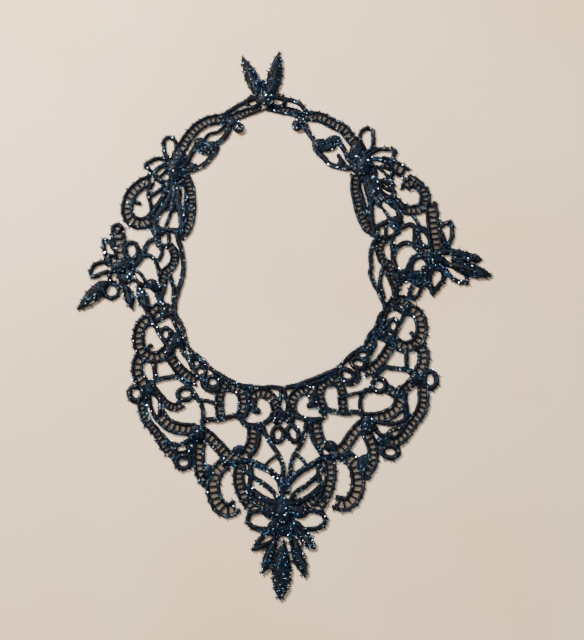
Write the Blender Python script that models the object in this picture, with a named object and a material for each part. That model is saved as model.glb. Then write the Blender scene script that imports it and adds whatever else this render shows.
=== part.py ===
"""A beaded lace collar, laid flat and fastened, as one set of sewn lace pieces.

Lengths in the tables are millimetres, laid as the collar lies: x to the right, y towards the
clasp, the origin under the middle of the collar. The left half is a pattern of cords, ladder
tapes, rings and pads. The right half is the same pattern turned over and eased to the places
where its own motifs lie, apart from the motifs that are laid another way there.
"""
import math
from collections import namedtuple

import bmesh
import bpy
import numpy as np
from mathutils import Matrix, Vector

MM = 0.001

# Sizes of the lace.
LACE_THICK = 1.5
BEAD_OVERHANG = 0.3
SEAM_GAP = 0.45
RAISED_GAP = 0.3
FIELD_STEP = 0.5
OUTLINE_EASE = 0.17
SMALLEST_HOLE = 11.0
SMALLEST_EDGE = 0.55
SOFTEN_PASSES = 2
CURVE_STEP = 1.2

# Sizes of the raised work.
LEAF_HEIGHT = 3.0
LEAF_SEGMENTS = 14
LEAF_RINGS = 14
LEAF_END_HEIGHT = 0.25
LEAF_FULLNESS = 0.75
KNOT_SEGMENTS = 14
KNOT_RINGS = 8
HOOK_RADIUS = 0.45
STUD_RADIUS = 0.8
STUD_HEIGHT = 1.3
STUD_X = -11.6
STUD_Y = 143.6
HOOK_TAIL = 6.5
HOOK_NECK = 3.5
HOOK_STEPS = 8

Strand = namedtuple("Strand", "name kind width route")
Oval = namedtuple("Oval", "name kind x y rx ry tilt width")
Leaf = namedtuple("Leaf", "name base_x base_y tip_x tip_y width widest")
Knot = namedtuple("Knot", "name x y rx ry tilt low high")
Landmark = namedtuple("Landmark", "name left_x left_y right_x right_y")
Finish = namedtuple("Finish", "name red green blue roughness metallic")

WOUND_CORD = Finish("wound_cord", 0.012, 0.020, 0.032, 0.55, 0.0)
BEADED_LEAF = Finish("beaded_leaf", 0.016, 0.045, 0.058, 0.35, 0.2)
WOUND_KNOT = Finish("wound_knot", 0.010, 0.016, 0.028, 0.5, 0.0)
DARK_STEEL = Finish("dark_steel", 0.05, 0.05, 0.055, 0.35, 1.0)

# The left strap, from the clasp down to the shoulder knot.
STRAP = (
    Strand("top edge", "cord", 2.4, ((-21, 147), (-25.5, 145), (-31, 142.3), (-36, 139.3), (-40.5, 136), (-44, 133.8))),
    Strand("lower band", "tape", 5.5, ((-15.6, 141.3), (-19, 140.2), (-26, 137.3), (-33, 134.5), (-38, 132.5), (-42, 132.3))),
    Strand("leaf tape", "tape", 6.8, ((-42, 132.6), (-50, 131.6), (-57, 128.2), (-62.3, 123.4), (-66.2, 118), (-69, 112.5))),
    Strand("under cord", "cord", 3.2, ((-37.5, 129), (-38, 124.8), (-40.2, 120.6), (-44, 116.8), (-48, 114))),
    Strand("band", "cord", 3.0, ((-46.5, 110), (-50, 105.3), (-54.3, 101), (-60, 97.8), (-65.5, 96.6), (-70, 98.5))),
    Strand("midrib", "cord", 3.0, ((-57, 117.5), (-60.5, 112.5), (-63.3, 107.5), (-65.3, 103), (-69, 98.5))),
    Strand("petal", "cord", 2.0, ((-75, 104.5), (-79.6, 107), (-81.2, 112.5), (-80.9, 118), (-77, 119.7), (-73.8, 117),
                                  (-73, 112.5), (-73.5, 108.5))),
)
STRAP_LEFT = (
    Strand("wavy", "cord", 1.6, ((-40.5, 128.6), (-43, 125.4), (-46.5, 123), (-50, 122.4), (-53, 120), (-54.5, 117.5))),
)
STRAP_RIGHT = (
    Strand("band bar", "cord", 2.0, ((35.4, 107), (37, 104.4), (39, 102))),
)
STRAP_RIGHT_OVALS = (
    Oval("leaf pad", "pad", 7.4, 135.8, 5.4, 2.2, -27, 0),
)
STRAP_OVALS = (
    Oval("clasp ring", "ring", -22, 144, 3.7, 3.7, 0, 2.4),
    Oval("ball", "pad", -31.5, 126.5, 3.8, 3.8, 0, 0),
    Oval("ball neck", "pad", -35.6, 130, 4.0, 3.0, 0, 0),
    Oval("bud one", "pad", -56.8, 115.4, 4.4, 4.2, 0, 0),
    Oval("bud two", "pad", -49.3, 112.6, 5.2, 4.6, 0, 0),
    Oval("bud three", "pad", -54, 110.6, 4.6, 3.0, 0, 0),
    Oval("heart", "pad", -71, 106.5, 5.0, 6.4, 0, 0),
    Oval("band pad", "pad", -61.3, 99.6, 3.0, 2.6, 0, 0),
)

# The left shoulder: a fan of ribs under a knot, two petals and the ladder hem at the neck.
SHOULDER = (
    Strand("petal two", "cord", 2.2, ((-75.5, 102.3), (-80.5, 104.6), (-86.3, 104.9), (-90.3, 102.8), (-93.2, 100.4),
                                      (-91, 97.6), (-88.2, 95))),
    Strand("petal under", "cord", 2.4, ((-87.5, 95.5), (-84.8, 98.2), (-80.4, 100.6), (-76, 100.4))),
    Strand("petal three", "cord", 2.4, ((-87, 95), (-86, 91.6), (-83, 89.4), (-79, 89.2), (-75.5, 90.5))),
    Strand("petal bar", "cord", 1.4, ((-84.6, 91), (-81.8, 94), (-79, 97.3))),
    Strand("rib one", "cord", 2.0, ((-76, 91), (-80, 86.5), (-84.5, 82.3), (-90, 78.7))),
    Strand("rib two", "cord", 4.0, ((-75.5, 90), (-79, 82), (-83, 74.5), (-88, 67.5), (-90, 64.5))),
    Strand("rib three", "cord", 3.5, ((-74.5, 90), (-76.5, 80), (-80, 72), (-84.5, 66), (-86.5, 59))),
    Strand("rib four", "cord", 5.0, ((-73.5, 90), (-74, 80), (-75.2, 70.5))),
    Strand("rib bar", "cord", 1.6, ((-75.3, 70), (-77, 64), (-79.5, 57.5))),
    Strand("rib five", "cord", 3.5, ((-72, 90), (-70.8, 82), (-71, 74), (-69.4, 66.5), (-68.6, 60), (-68.6, 54))),
    Strand("rib six", "cord", 2.2, ((-70, 89), (-66.5, 86), (-65.8, 78), (-66.3, 71), (-67, 65))),
    Strand("hem tape", "tape", 6.0, ((-66.5, 92.5), (-63.6, 85.5), (-62.5, 78), (-62.4, 70), (-63.3, 62), (-65.8, 55.5),
                                     (-69.5, 51.6))),
    Strand("bud bar", "cord", 3.0, ((-81, 57), (-76, 56.2), (-70.5, 55.6))),
)
SHOULDER_OVALS = (
    Oval("knot", "pad", -74, 97, 4.6, 8.0, 0, 0),
    Oval("knot side", "pad", -69.5, 95, 3.5, 5.0, 0, 0),
    Oval("bud", "pad", -84, 55.3, 5.0, 3.8, -20, 0),
    Oval("hem eye", "hole", -63.2, 73.4, 2.0, 2.5, 0, 0),
)

SHOULDER_RIGHT_OVALS = (
    Oval("petal pad", "pad", 68.4, 88.6, 5.0, 2.6, -28, 0),
    Oval("rib lens", "hole", 56.9, 84.8, 7.0, 1.8, -53, 0),
    Oval("petal slit", "hole", 68.4, 85.2, 7.4, 1.3, -30, 0),
)

# The scroll outside the fan. It curls another way on each side.
SCROLL_LEFT = (
    Strand("scroll", "tape", 7.6, ((-89, 90.2), (-94.5, 88.0), (-99.4, 84), (-102.9, 79), (-104.6, 73), (-104.3, 67.5),
                                   (-101.4, 62.7), (-96.4, 60.8), (-91.2, 61.9), (-88, 63.6))),
    Strand("scroll nub", "cord", 2.2, ((-101, 75.8), (-98.5, 75), (-96.7, 74.3))),
    Strand("scroll inner", "cord", 1.8, ((-88.5, 87), (-90.6, 83.5), (-91, 79.5), (-89.6, 75.5), (-88.8, 71), (-88.4, 66))),
)
SCROLL_RIGHT = (
    Strand("leaf band", "tape", 8.2, ((64.5, 102.6), (70, 100.8), (75.4, 98), (79.8, 95))),
    Strand("scroll", "tape", 6.6, ((79.8, 84), (80.8, 87.2), (84.6, 88.4), (88.6, 86.4), (91.8, 82), (92.5, 76.5),
                                   (90, 71.6), (84.5, 69.6), (78.5, 70.4), (73.5, 73.2), (68.5, 78))),
    Strand("scroll shoulder", "cord", 3.0, ((83, 92.4), (87.2, 89.8), (90.8, 86.4))),
    Strand("petal side", "cord", 1.8, ((66.5, 94.4), (69.6, 91.4), (70.8, 86), (71.8, 80.5), (74, 75))),
)

SCROLL_LEFT_OVALS = (
    Oval("scroll eye", "hole", -94.9, 87, 2.1, 2.0, 0, 0),
)
SCROLL_RIGHT_OVALS = (
    Oval("leaf band eye", "hole", 80.6, 94.8, 2.0, 2.0, 0, 0),
)

# The left sprig: a tab, petals and rings about a knot at the outside.
SPRIG_LEFT = (
    Strand("tab", "tape", 9.0, ((-110.5, 57), (-110.3, 52.5), (-109.5, 48), (-108, 41), (-106, 35))),
    Strand("small petal", "cord", 2.0, ((-113.2, 38.5), (-117.8, 39.8), (-119.3, 44.5), (-119.2, 49.6), (-115.3, 47.6),
                                        (-113.4, 44))),
    Strand("low petal", "cord", 2.2, ((-115, 34), (-119.6, 34.6), (-124.8, 32.8), (-127.4, 28.3), (-125.8, 25),
                                      (-121.3, 26.6), (-116.5, 28.5))),
    Strand("stem", "cord", 3.2, ((-100, 31.5), (-96.5, 35), (-93.5, 39))),
    Strand("stem upper", "cord", 2.6, ((-94, 38), (-92.4, 43), (-90, 48), (-86.5, 49.8), (-83.5, 51.3))),
    Strand("stem lower", "cord", 2.2, ((-94, 38), (-90, 39.2), (-86, 36.5), (-83.6, 31.5), (-82.6, 26))),
    Strand("small leaf outer", "cord", 1.8, ((-100, 30), (-95.6, 27.6), (-92.3, 23), (-90.3, 18.8))),
    Strand("small leaf inner", "cord", 2.4, ((-100.5, 28), (-98, 23), (-94, 19.8), (-90.3, 18.8))),
    Strand("low stem", "cord", 4.0, ((-109, 30), (-107.5, 24), (-105, 19))),
    Strand("ring link", "cord", 2.0, ((-110, 29), (-114.4, 27.5), (-114.6, 22.5), (-111, 20.5))),
)
SPRIG_LEFT_OVALS = (
    Oval("tab eye", "ring", -110.8, 57.2, 2.8, 2.4, 0, 2.2),
    Oval("ring", "ring", -101.2, 42.2, 4.3, 5.6, 0, 2.4),
    Oval("knot", "pad", -108, 31.5, 6.0, 4.5, 0, 0),
    Oval("knot side", "pad", -103, 33.0, 6.0, 3.5, 30, 0),
    Oval("loop knot", "pad", -116.5, 35.5, 2.8, 3.6, 0, 0),
    Oval("low ring", "ring", -113.4, 15.5, 4.7, 4.7, 0, 2.0),
    Oval("leaf seat", "pad", -104.5, 23.5, 5.0, 4.0, 0, 0),
)

# The right sprig lies with its leaf swung outwards.
SPRIG_RIGHT = (
    Strand("tab", "tape", 8.2, ((95.6, 74), (97, 68), (97.3, 61), (98.2, 54), (99.4, 47), (99.6, 41))),
    Strand("small petal", "cord", 2.2, ((101.5, 57.5), (105, 60.3), (109, 61.2), (109.8, 56), (109.3, 50.8), (107, 46.6),
                                        (103.6, 43.6))),
    Strand("petal side", "cord", 2.0, ((101.8, 57), (103.6, 52.5), (105.2, 48.3))),
    Strand("stem", "cord", 3.4, ((94, 38), (89.5, 41.8), (86.5, 44.5))),
    Strand("stem upper", "cord", 2.8, ((87.5, 42.6), (84, 46.2), (80.2, 47.6), (76.4, 46.7), (73, 43.6), (71, 40))),
    Strand("stem lower", "cord", 3.0, ((76, 28), (79, 28.6), (81.2, 33), (83.6, 37.3), (88, 39.6))),
    Strand("link", "cord", 2.8, ((86.8, 44), (85.2, 48.5), (85.3, 53), (85.4, 57.5), (82.6, 60), (79, 58.8), (75.4, 57))),
    Strand("divider", "cord", 1.7, ((84.4, 65.6), (87, 61.8), (88.6, 58))),
    Strand("ring link", "cord", 2.4, ((85.4, 56.5), (88, 57.6), (91.4, 57.2))),
    Strand("small leaf", "cord", 2.2, ((90, 38.5), (86, 37.2), (83, 33.4), (82.4, 29), (85, 26.4), (88.6, 27), (90.6, 31))),
    Strand("upper leaf", "cord", 4.4, ((104, 41.5), (109, 41.6), (115, 40.2), (121, 38.4), (126, 36.6))),
    Strand("upper leaf low", "cord", 3.4, ((110.5, 36.4), (116, 36.4), (122, 36.8))),
    Strand("upper eye", "cord", 3.0, ((102, 38.5), (106, 33.8), (111, 31.8), (116, 33))),
    Strand("low petal", "cord", 2.4, ((103.5, 31.5), (108, 25.4), (112.6, 21.8), (118.4, 20.8))),
    Strand("low petal top", "cord", 2.2, ((118.4, 20.8), (118.6, 24.2))),
    Strand("loop leaf", "cord", 2.8, ((97, 32), (103, 28.6), (103.4, 23.6), (100, 18.6), (96.2, 14.2), (95.1, 19),
                                      (94.2, 24.5), (96.4, 29))),
    Strand("drop stem", "cord", 3.6, ((94, 35), (92.6, 27), (92.4, 20))),
    Strand("low leaf outer", "cord", 2.4, ((91.6, 24), (89.4, 18.6), (87, 13.4), (84.2, 10.4))),
    Strand("low leaf inner", "cord", 2.6, ((88, 24.5), (84.5, 21), (82, 16.5), (80.6, 11.4))),
    Strand("low leaf top", "cord", 3.6, ((84.5, 21), (87.2, 20), (89.5, 20.5))),
    Strand("low leaf foot", "cord", 2.4, ((80.6, 11.4), (84.2, 10.4))),
    Strand("ball arm", "cord", 4.6, ((75, 26), (79.5, 24.2), (84, 26.2), (89, 27))),
)
SPRIG_RIGHT_OVALS = (
    Oval("ring", "ring", 91.2, 50.4, 3.3, 6.3, 24, 2.4),
    Oval("knot", "pad", 96.5, 37.5, 6.5, 5.0, 0, 0),
    Oval("knot side", "pad", 100.8, 34.5, 5.0, 5.0, 0, 0),
    Oval("petal knot", "pad", 103.6, 45, 2.6, 3.2, 0, 0),
    Oval("leaf seat", "pad", 97, 31, 5.5, 2.8, 0, 0),
)

# The left side panel, between the sprig and the neck edge.
SIDE = (
    Strand("link", "cord", 2.0, ((-83.8, 53.0), (-82.6, 47.5), (-81.3, 44), (-81.2, 40), (-82.8, 36.4))),
    Strand("inner scroll", "tape", 5.4, ((-76.8, 46), (-73.4, 42), (-72.8, 36.5), (-75, 31.2), (-78.8, 28), (-80.2, 22),
                                         (-81, 16), (-84, 13.2))),
    Strand("neck", "cord", 2.6, ((-71.6, 53.5), (-70.3, 48.5), (-68.5, 44), (-67.3, 38), (-66.9, 32), (-67.3, 26),
                                 (-68.7, 20), (-70.5, 14), (-71.9, 8))),
    Strand("neck link one", "cord", 2.2, ((-76, 27), (-74, 21), (-72.8, 16), (-73.2, 9))),
    Strand("neck link two", "cord", 2.0, ((-78, 22), (-79.2, 16), (-80.6, 10), (-79, 6))),
    Strand("eyelet side", "cord", 1.8, ((-77.2, 54), (-76.6, 50), (-77, 46.5))),
    Strand("eyelet bar", "cord", 2.2, ((-84, 46), (-80, 45.3), (-76, 46.5))),
    Strand("foot", "cord", 2.6, ((-84, 14), (-82.4, 9.5), (-81, 6))),
)
SIDE_RIGHT = (
    Strand("stem side", "cord", 3.0, ((70.4, 46), (70.8, 40.5), (71, 35.5), (72.6, 31), (75, 28))),
)
SIDE_OVALS = (
    Oval("ball", "pad", -86, 19.2, 5.4, 3.8, -35, 0),
)

# The upper bib on the left: a scroll outside, a leaf slit and three eyes along the neck edge.
BIB_UPPER = (
    Strand("arch", "tape", 6.0, ((-88, -1), (-85, 3.5), (-80, 5.2), (-75.5, 3.5), (-72, 4))),
    Strand("neck", "cord", 2.6, ((-72, 8), (-72, 1), (-69, -4.5), (-66.5, -9.5), (-65.3, -15), (-63.4, -21), (-60, -25),
                                 (-56, -27.5), (-52.3, -31), (-49, -34.5), (-44.5, -38), (-40, -40.6))),
    Strand("neck second", "cord", 2.0, ((-73.5, -2.5), (-71, -8), (-68.5, -13), (-67, -19), (-65.5, -24))),
    Strand("beaded line", "cord", 2.6, ((-89, 0), (-85.5, -5.5), (-82.5, -11), (-79, -16.5), (-76, -21.5), (-74.5, -25))),
    Strand("eye top bar", "cord", 3.0, ((-84.5, -5), (-79.5, -1.8), (-75, 0.5), (-72, 1))),
    Strand("ring link", "cord", 2.0, ((-74.5, -10.5), (-72.5, -12.8), (-70, -14))),
    Strand("scroll", "tape", 7.5, ((-87, -3.6), (-91, -4.5), (-94, -8.5), (-95.2, -16), (-93.8, -22), (-90.2, -26.5),
                                   (-85.5, -28), (-80.5, -27), (-77, -24))),
    Strand("scroll nub", "cord", 2.4, ((-90.5, -22.5), (-87, -20.5))),
    Strand("outer tape", "tape", 7.5, ((-93, -27), (-95.3, -33), (-94.8, -39), (-92, -44), (-89.8, -48))),
    Strand("stay", "cord", 2.5, ((-84.5, -30), (-84.3, -36), (-83.8, -41), (-85, -45))),
    Strand("cross", "cord", 2.6, ((-86, -43.8), (-80, -41.8), (-75, -41), (-70, -40.5), (-65, -43.8), (-62, -46.4))),
    Strand("leaf tape", "tape", 6.5, ((-76, -25), (-71.7, -31.5), (-67, -37), (-62, -40.6), (-56.5, -43.5))),
    Strand("leaf band", "cord", 3.0, ((-66.5, -24), (-62.7, -29), (-60.5, -33), (-58.5, -37), (-57, -41))),
    Strand("cuff", "cord", 3.0, ((-53.5, -40), (-52.5, -46.5), (-48, -49.4), (-43, -48.5))),
)
BIB_UPPER_OVALS = (
    Oval("ring", "ring", -77.6, -13.0, 3.0, 4.0, 0, 2.4),
    Oval("pad", "pad", -70.5, -17, 3.6, 5.5, 0, 0),
    Oval("fork pad", "pad", -74.5, -23, 3.8, 4.0, 0, 0),
    Oval("eye one", "ring", -57.3, -31.8, 2.8, 2.8, 0, 2.2),
    Oval("eye two", "ring", -54.6, -37.4, 3.3, 3.3, 0, 2.2),
    Oval("eye three", "ring", -46.5, -44.0, 4.0, 3.6, 0, 2.6),
    Oval("leaf pad", "pad", -60.5, -28.3, 3.2, 2.8, 0, 0),
    Oval("corner pad", "pad", -79, 1.2, 3.2, 3.0, 0, 0),
)

# The outer bib on the left, with the oval, its drop, the crescent and two hanging rings.
BIB_OUTER = (
    Strand("oval side", "cord", 2.6, ((-62.6, -46.0), (-60.5, -48), (-57.5, -53))),
    Strand("oval lower", "tape", 5.0, ((-84.5, -48.5), (-80.5, -53.5), (-76, -58), (-70.5, -60), (-66, -57.8))),
    Strand("divider", "cord", 1.8, ((-87.5, -51), (-86.8, -57), (-85.3, -62.5), (-82.5, -68))),
    Strand("inner side", "cord", 2.2, ((-80.5, -54), (-80, -60), (-80.5, -65))),
    Strand("ladder", "tape", 7.6, ((-80.6, -64), (-77.3, -68.9), (-71.6, -72.5), (-64.8, -74), (-58, -74.2))),
    Strand("crescent", "cord", 2.4, ((-78.5, -77.5), (-73.5, -82.8), (-68, -84), (-63.0, -82), (-58, -79))),
    Strand("eyelet bar", "cord", 2.2, ((-69.5, -84.5), (-69.8, -87.5), (-69, -90))),
    Strand("edge", "tape", 5.4, ((-91, -52), (-91.8, -58), (-90.8, -64), (-87.8, -70), (-83, -75), (-79.3, -81),
                                 (-75.8, -86.5), (-71, -90.2), (-65, -90.5), (-60, -89))),
)
BIB_OUTER_OVALS = (
    Oval("outer ring", "ring", -95.7, -51.4, 4.4, 4.6, 0, 2.8),
    Oval("drop", "ring", -64.0, -51.6, 5.0, 3.8, 10, 2.6),
    Oval("cross knot", "pad", -86.5, -48.5, 4.2, 4.4, 0, 0),
    Oval("hem ring", "ring", -64.7, -94.8, 4.6, 4.2, 0, 2.6),
    Oval("knot", "pad", -56.5, -77, 5.2, 6.0, 0, 0),
    Oval("hem pad", "pad", -60, -86, 3.4, 4.2, 0, 0),
)

# The outer bib on the right has its own lie: one open side pocket and a wider ladder.
BIB_OUTER_RIGHT = (
    Strand("drop side", "cord", 2.6, ((57.6, -43.2), (55.4, -46.4), (54.6, -49.6))),
    Strand("oval lower", "tape", 6.0, ((82, -43.6), (78, -47.4), (74, -50.4), (70, -50.6), (66.4, -48.6))),
    Strand("ladder", "tape", 7.6, ((51, -67.4), (57, -67.2), (63, -66), (68.6, -63.4), (72.8, -59), (74.2, -53.5),
                                   (76, -48))),
    Strand("ladder rim", "cord", 2.2, ((79, -65.5), (74.5, -69.2), (69, -70.8), (63, -70.4), (58, -69.5))),
    Strand("inner side", "cord", 3.6, ((75.8, -51), (76.6, -57), (77.4, -62), (77.8, -66.5))),
    Strand("crescent", "cord", 2.2, ((57.2, -73), (60.5, -77.6), (64.5, -78), (67.5, -75.2), (72, -73.8), (77, -71.4))),
    Strand("eyelet bar", "cord", 2.4, ((67.2, -75.5), (66.8, -79.4))),
    Strand("edge", "tape", 7.0, ((88.6, -45.5), (88.7, -51), (88.5, -57), (86.8, -62.8), (83, -68.2), (79.2, -73),
                                 (75.8, -78), (71.4, -81.6), (66, -82.4), (61.5, -80.4))),
)
BIB_OUTER_RIGHT_OVALS = (
    Oval("outer ring", "ring", 93.3, -42.6, 4.0, 5.4, 0, 2.8),
    Oval("drop", "ring", 60.4, -46.0, 4.4, 4.2, 0, 2.8),
    Oval("cross knot", "pad", 85, -41.8, 5.2, 4.6, 0, 0),
    Oval("hem ring", "ring", 67.0, -88.4, 5.0, 3.8, 0, 2.8),
    Oval("knot", "pad", 53.4, -71.2, 5.0, 6.0, 0, 0),
    Oval("hem pad", "pad", 61.5, -81.5, 3.2, 3.6, 0, 0),
)

# The inner bib on the left, up to the middle line.
BIB_INNER = (
    Strand("neck", "cord", 2.6, ((-41, -40.0), (-34.5, -43.8), (-28, -46.3), (-22, -46.9), (-15, -47.8), (-8, -47.2),
                                 (-2.4, -48.3))),
    Strand("pocket foot", "cord", 1.8, ((-56.5, -54), (-54.0, -55.5), (-50, -56), (-45.5, -57.3), (-42, -58.5))),
    Strand("pocket side", "cord", 2.4, ((-56.6, -54.4), (-54.2, -58), (-52.8, -62), (-52.6, -68), (-53, -73))),
    Strand("roof", "cord", 2.8, ((-53, -69), (-48, -67.9), (-43.5, -68.3), (-38, -67.1), (-32.5, -65.5), (-28, -66.5))),
    Strand("ladder", "tape", 5.6, ((-38, -44), (-40.8, -49), (-42.2, -54), (-42.2, -60), (-41.5, -66.5))),
    Strand("arch left", "tape", 6.5, ((-37, -46.8), (-33.5, -47.4), (-29.5, -49), (-27.2, -53.5), (-27, -59),
                                      (-28, -65.5))),
    Strand("fork", "cord", 2.4, ((-23.8, -48), (-23.8, -57), (-24.5, -64), (-28, -67.5))),
    Strand("arch right", "tape", 6.5, ((-21.7, -59), (-20.7, -53.5), (-16, -50.8), (-10, -53), (-6.3, -58), (-6.0, -64),
                                       (-8.5, -69))),
    Strand("arch nub", "cord", 3.4, ((-20.5, -57), (-20, -62), (-17.5, -62.5))),
    Strand("moon", "cord", 3.0, ((-28.5, -67), (-26, -70.6), (-20, -71.8), (-14, -70.5), (-8.8, -67.5))),
    Strand("tall ladder", "tape", 7.0, ((-20.5, -72), (-20.7, -78), (-21.7, -84), (-25.5, -89.5))),
    Strand("slope", "tape", 7.2, ((-52.4, -76.2), (-47.4, -79.8), (-42.6, -84.8), (-37.8, -89.8), (-32.6, -92.9))),
    Strand("heart edge", "cord", 2.4, ((-17, -72.5), (-16.6, -80), (-18.2, -86), (-22.5, -91.5))),
    Strand("axis line", "cord", 2.6, ((-14.5, -73), (-10.5, -81), (-6, -87.5), (-2.6, -94), (-1.4, -99.5), (-1.8, -105))),
    Strand("bar", "cord", 1.5, ((-5, -90.5), (-9.0, -93.2), (-12.5, -96.5))),
    Strand("centre stay", "cord", 2.0, ((-2.6, -48.5), (-3.2, -55), (-4.8, -60))),
)
# On the right the neck edge stands a little higher than the pattern turned over.
BIB_INNER_RIGHT = (
    Strand("neck edge", "cord", 2.2, ((2.2, -47.8), (10.1, -45), (15.3, -43.1), (24.5, -39.4), (30.5, -36.8),
                                      (35.6, -34.4))),
)
BIB_INNER_OVALS = (
    Oval("centre ring", "ring", -3.9, -66.0, 2.6, 3.6, 0, 2.2),
    Oval("centre ring low", "ring", -4.6, -77.4, 3.6, 4.8, 0, 2.4),
    Oval("fork pad", "pad", -29.5, -88, 4.6, 4.0, 20, 0),
)

# The lower bib on the left: the hanging lobe, its ladders and the crescents at the middle.
BIB_LOWER = (
    Strand("sweep", "cord", 3.6, ((-40, -94.6), (-33, -95.2), (-26, -94.2), (-20.5, -95), (-15, -97.5), (-10, -100),
                                  (-6, -103.5), (-3, -108), (-2.2, -113))),
    Strand("side ladder", "tape", 7.0, ((-54, -81), (-54.8, -88), (-54.6, -96), (-53, -103), (-49.5, -108))),
    Strand("lobe", "tape", 8.5, ((-38, -95.5), (-42.5, -99.5), (-45.2, -105), (-45.7, -111), (-44, -118), (-40.5, -123.2),
                                 (-35.8, -125), (-31, -122.5))),
    Strand("lobe inner", "tape", 7.0, ((-28.5, -97), (-29.5, -104), (-28.5, -110), (-27.2, -114), (-24, -119),
                                       (-20, -124))),
    Strand("crescent", "cord", 2.6, ((-24.5, -101), (-17.5, -106), (-12, -109.5), (-7.5, -113.5), (-4.5, -118))),
    Strand("crescent low", "cord", 3.2, ((-21.5, -112), (-18.5, -114), (-13.5, -117.3), (-8.5, -119.5), (-4, -120.5))),
    Strand("lobe tail", "tape", 5.5, ((-24, -116), (-17, -119.5), (-10.5, -122.5), (-6.5, -123.5))),
    Strand("lobe root", "cord", 3.0, ((-22, -97.5), (-21.6, -103), (-22.4, -109), (-23.5, -114))),
)
BIB_LOWER_OVALS = (
    Oval("lobe pad", "pad", -49, -101, 4.0, 5.0, 0, 0),
)

# The pendant, which carries one leaf on the middle line and two beside it.
PENDANT_BOTH = (
    Strand("side loop", "cord", 2.6, ((-9, -126), (-16, -125.4), (-22.0, -127.3), (-23.4, -131.8), (-20, -135.2),
                                      (-12.5, -136.6), (-7, -137))),
)
PENDANT_LEFT = (
    Strand("petal loop", "cord", 2.6, ((-6.5, -139), (-11.8, -139.6), (-16.2, -143.6), (-19.2, -148.6))),
    Strand("petal loop low", "cord", 2.6, ((-5.0, -142), (-10.5, -145.4), (-15, -147.4), (-19.2, -148.6))),
)
PENDANT_OVALS = (
    Oval("root", "pad", -9.2, -126, 5.0, 4.2, 20, 0),
    Oval("root low", "pad", -6.5, -135.5, 5.0, 4.6, 0, 0),
)
PENDANT_AXIS = (
    Oval("knot", "pad", -1.6, -122, 5.2, 5.5, 0, 0),
    Oval("heart", "pad", -1.0, -132, 7.0, 9.0, 0, 0),
)

# Raised leaves. The widest place is a share of the way from the base to the tip.
LEAVES = (
    Leaf("clasp_leaf_left", -16.5, 147.3, -29.4, 176.6, 9.4, 0.42),
    Leaf("clasp_leaf_right", -9.8, 148.2, -4.3, 180.0, 10.2, 0.42),
    Leaf("sprig_leaf_left", -115.9, 22.0, -135.3, 2.9, 9.8, 0.40),
    Leaf("low_leaf_one_left", -104.6, 20.4, -99.7, 3.0, 6.8, 0.50),
    Leaf("low_leaf_two_left", -96.6, 19.8, -88.9, 1.2, 7.8, 0.50),
    Leaf("sprig_leaf_right", 105.0, 33.9, 135.3, 25.3, 9.2, 0.52),
    Leaf("pendant_leaf_centre", -0.8, -142.0, -3.0, -180.0, 12.4, 0.58),
    Leaf("pendant_leaf_left", -5.8, -141.6, -14.3, -164.2, 6.6, 0.55),
    Leaf("pendant_leaf_right", 5.2, -140.6, 12.7, -166.4, 7.4, 0.55),
    Leaf("pendant_leaf_upper", 7.4, -136.8, 18.9, -148.8, 7.6, 0.50),
)

# Wound knots that stand on the lace.
KNOTS = (
    Knot("clasp_knot", -13.2, 146.0, 5.2, 5.4, 0, 3.4, 4.9),
    Knot("strap_ball_left", -31.5, 126.5, 3.4, 3.4, 0, 1.8, 3.6),
    Knot("strap_ball_right", 7.8, 127.8, 3.4, 3.4, 0, 1.8, 3.6),
    Knot("shoulder_knot_left", -73.6, 96.5, 4.2, 7.6, 4, 1.8, 3.6),
    Knot("shoulder_knot_right", 52.4, 100.5, 4.2, 7.6, -18, 1.8, 3.6),
    Knot("sprig_knot_left", -107.4, 31.8, 7.0, 4.2, 12, 1.8, 3.6),
    Knot("sprig_knot_right", 96.8, 37.6, 7.0, 4.2, -14, 1.8, 3.6),
    Knot("side_ball_left", -86, 19.2, 4.8, 3.2, -35, 1.8, 3.4),
    Knot("bib_knot_left", -56.3, -76.6, 4.4, 5.2, 0, 1.8, 3.4),
    Knot("bib_knot_right", 53.2, -71.0, 4.4, 5.2, 0, 1.8, 3.4),
    Knot("pendant_knot", -1.5, -127.2, 4.6, 6.4, 0, 1.8, 3.8),
)

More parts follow.
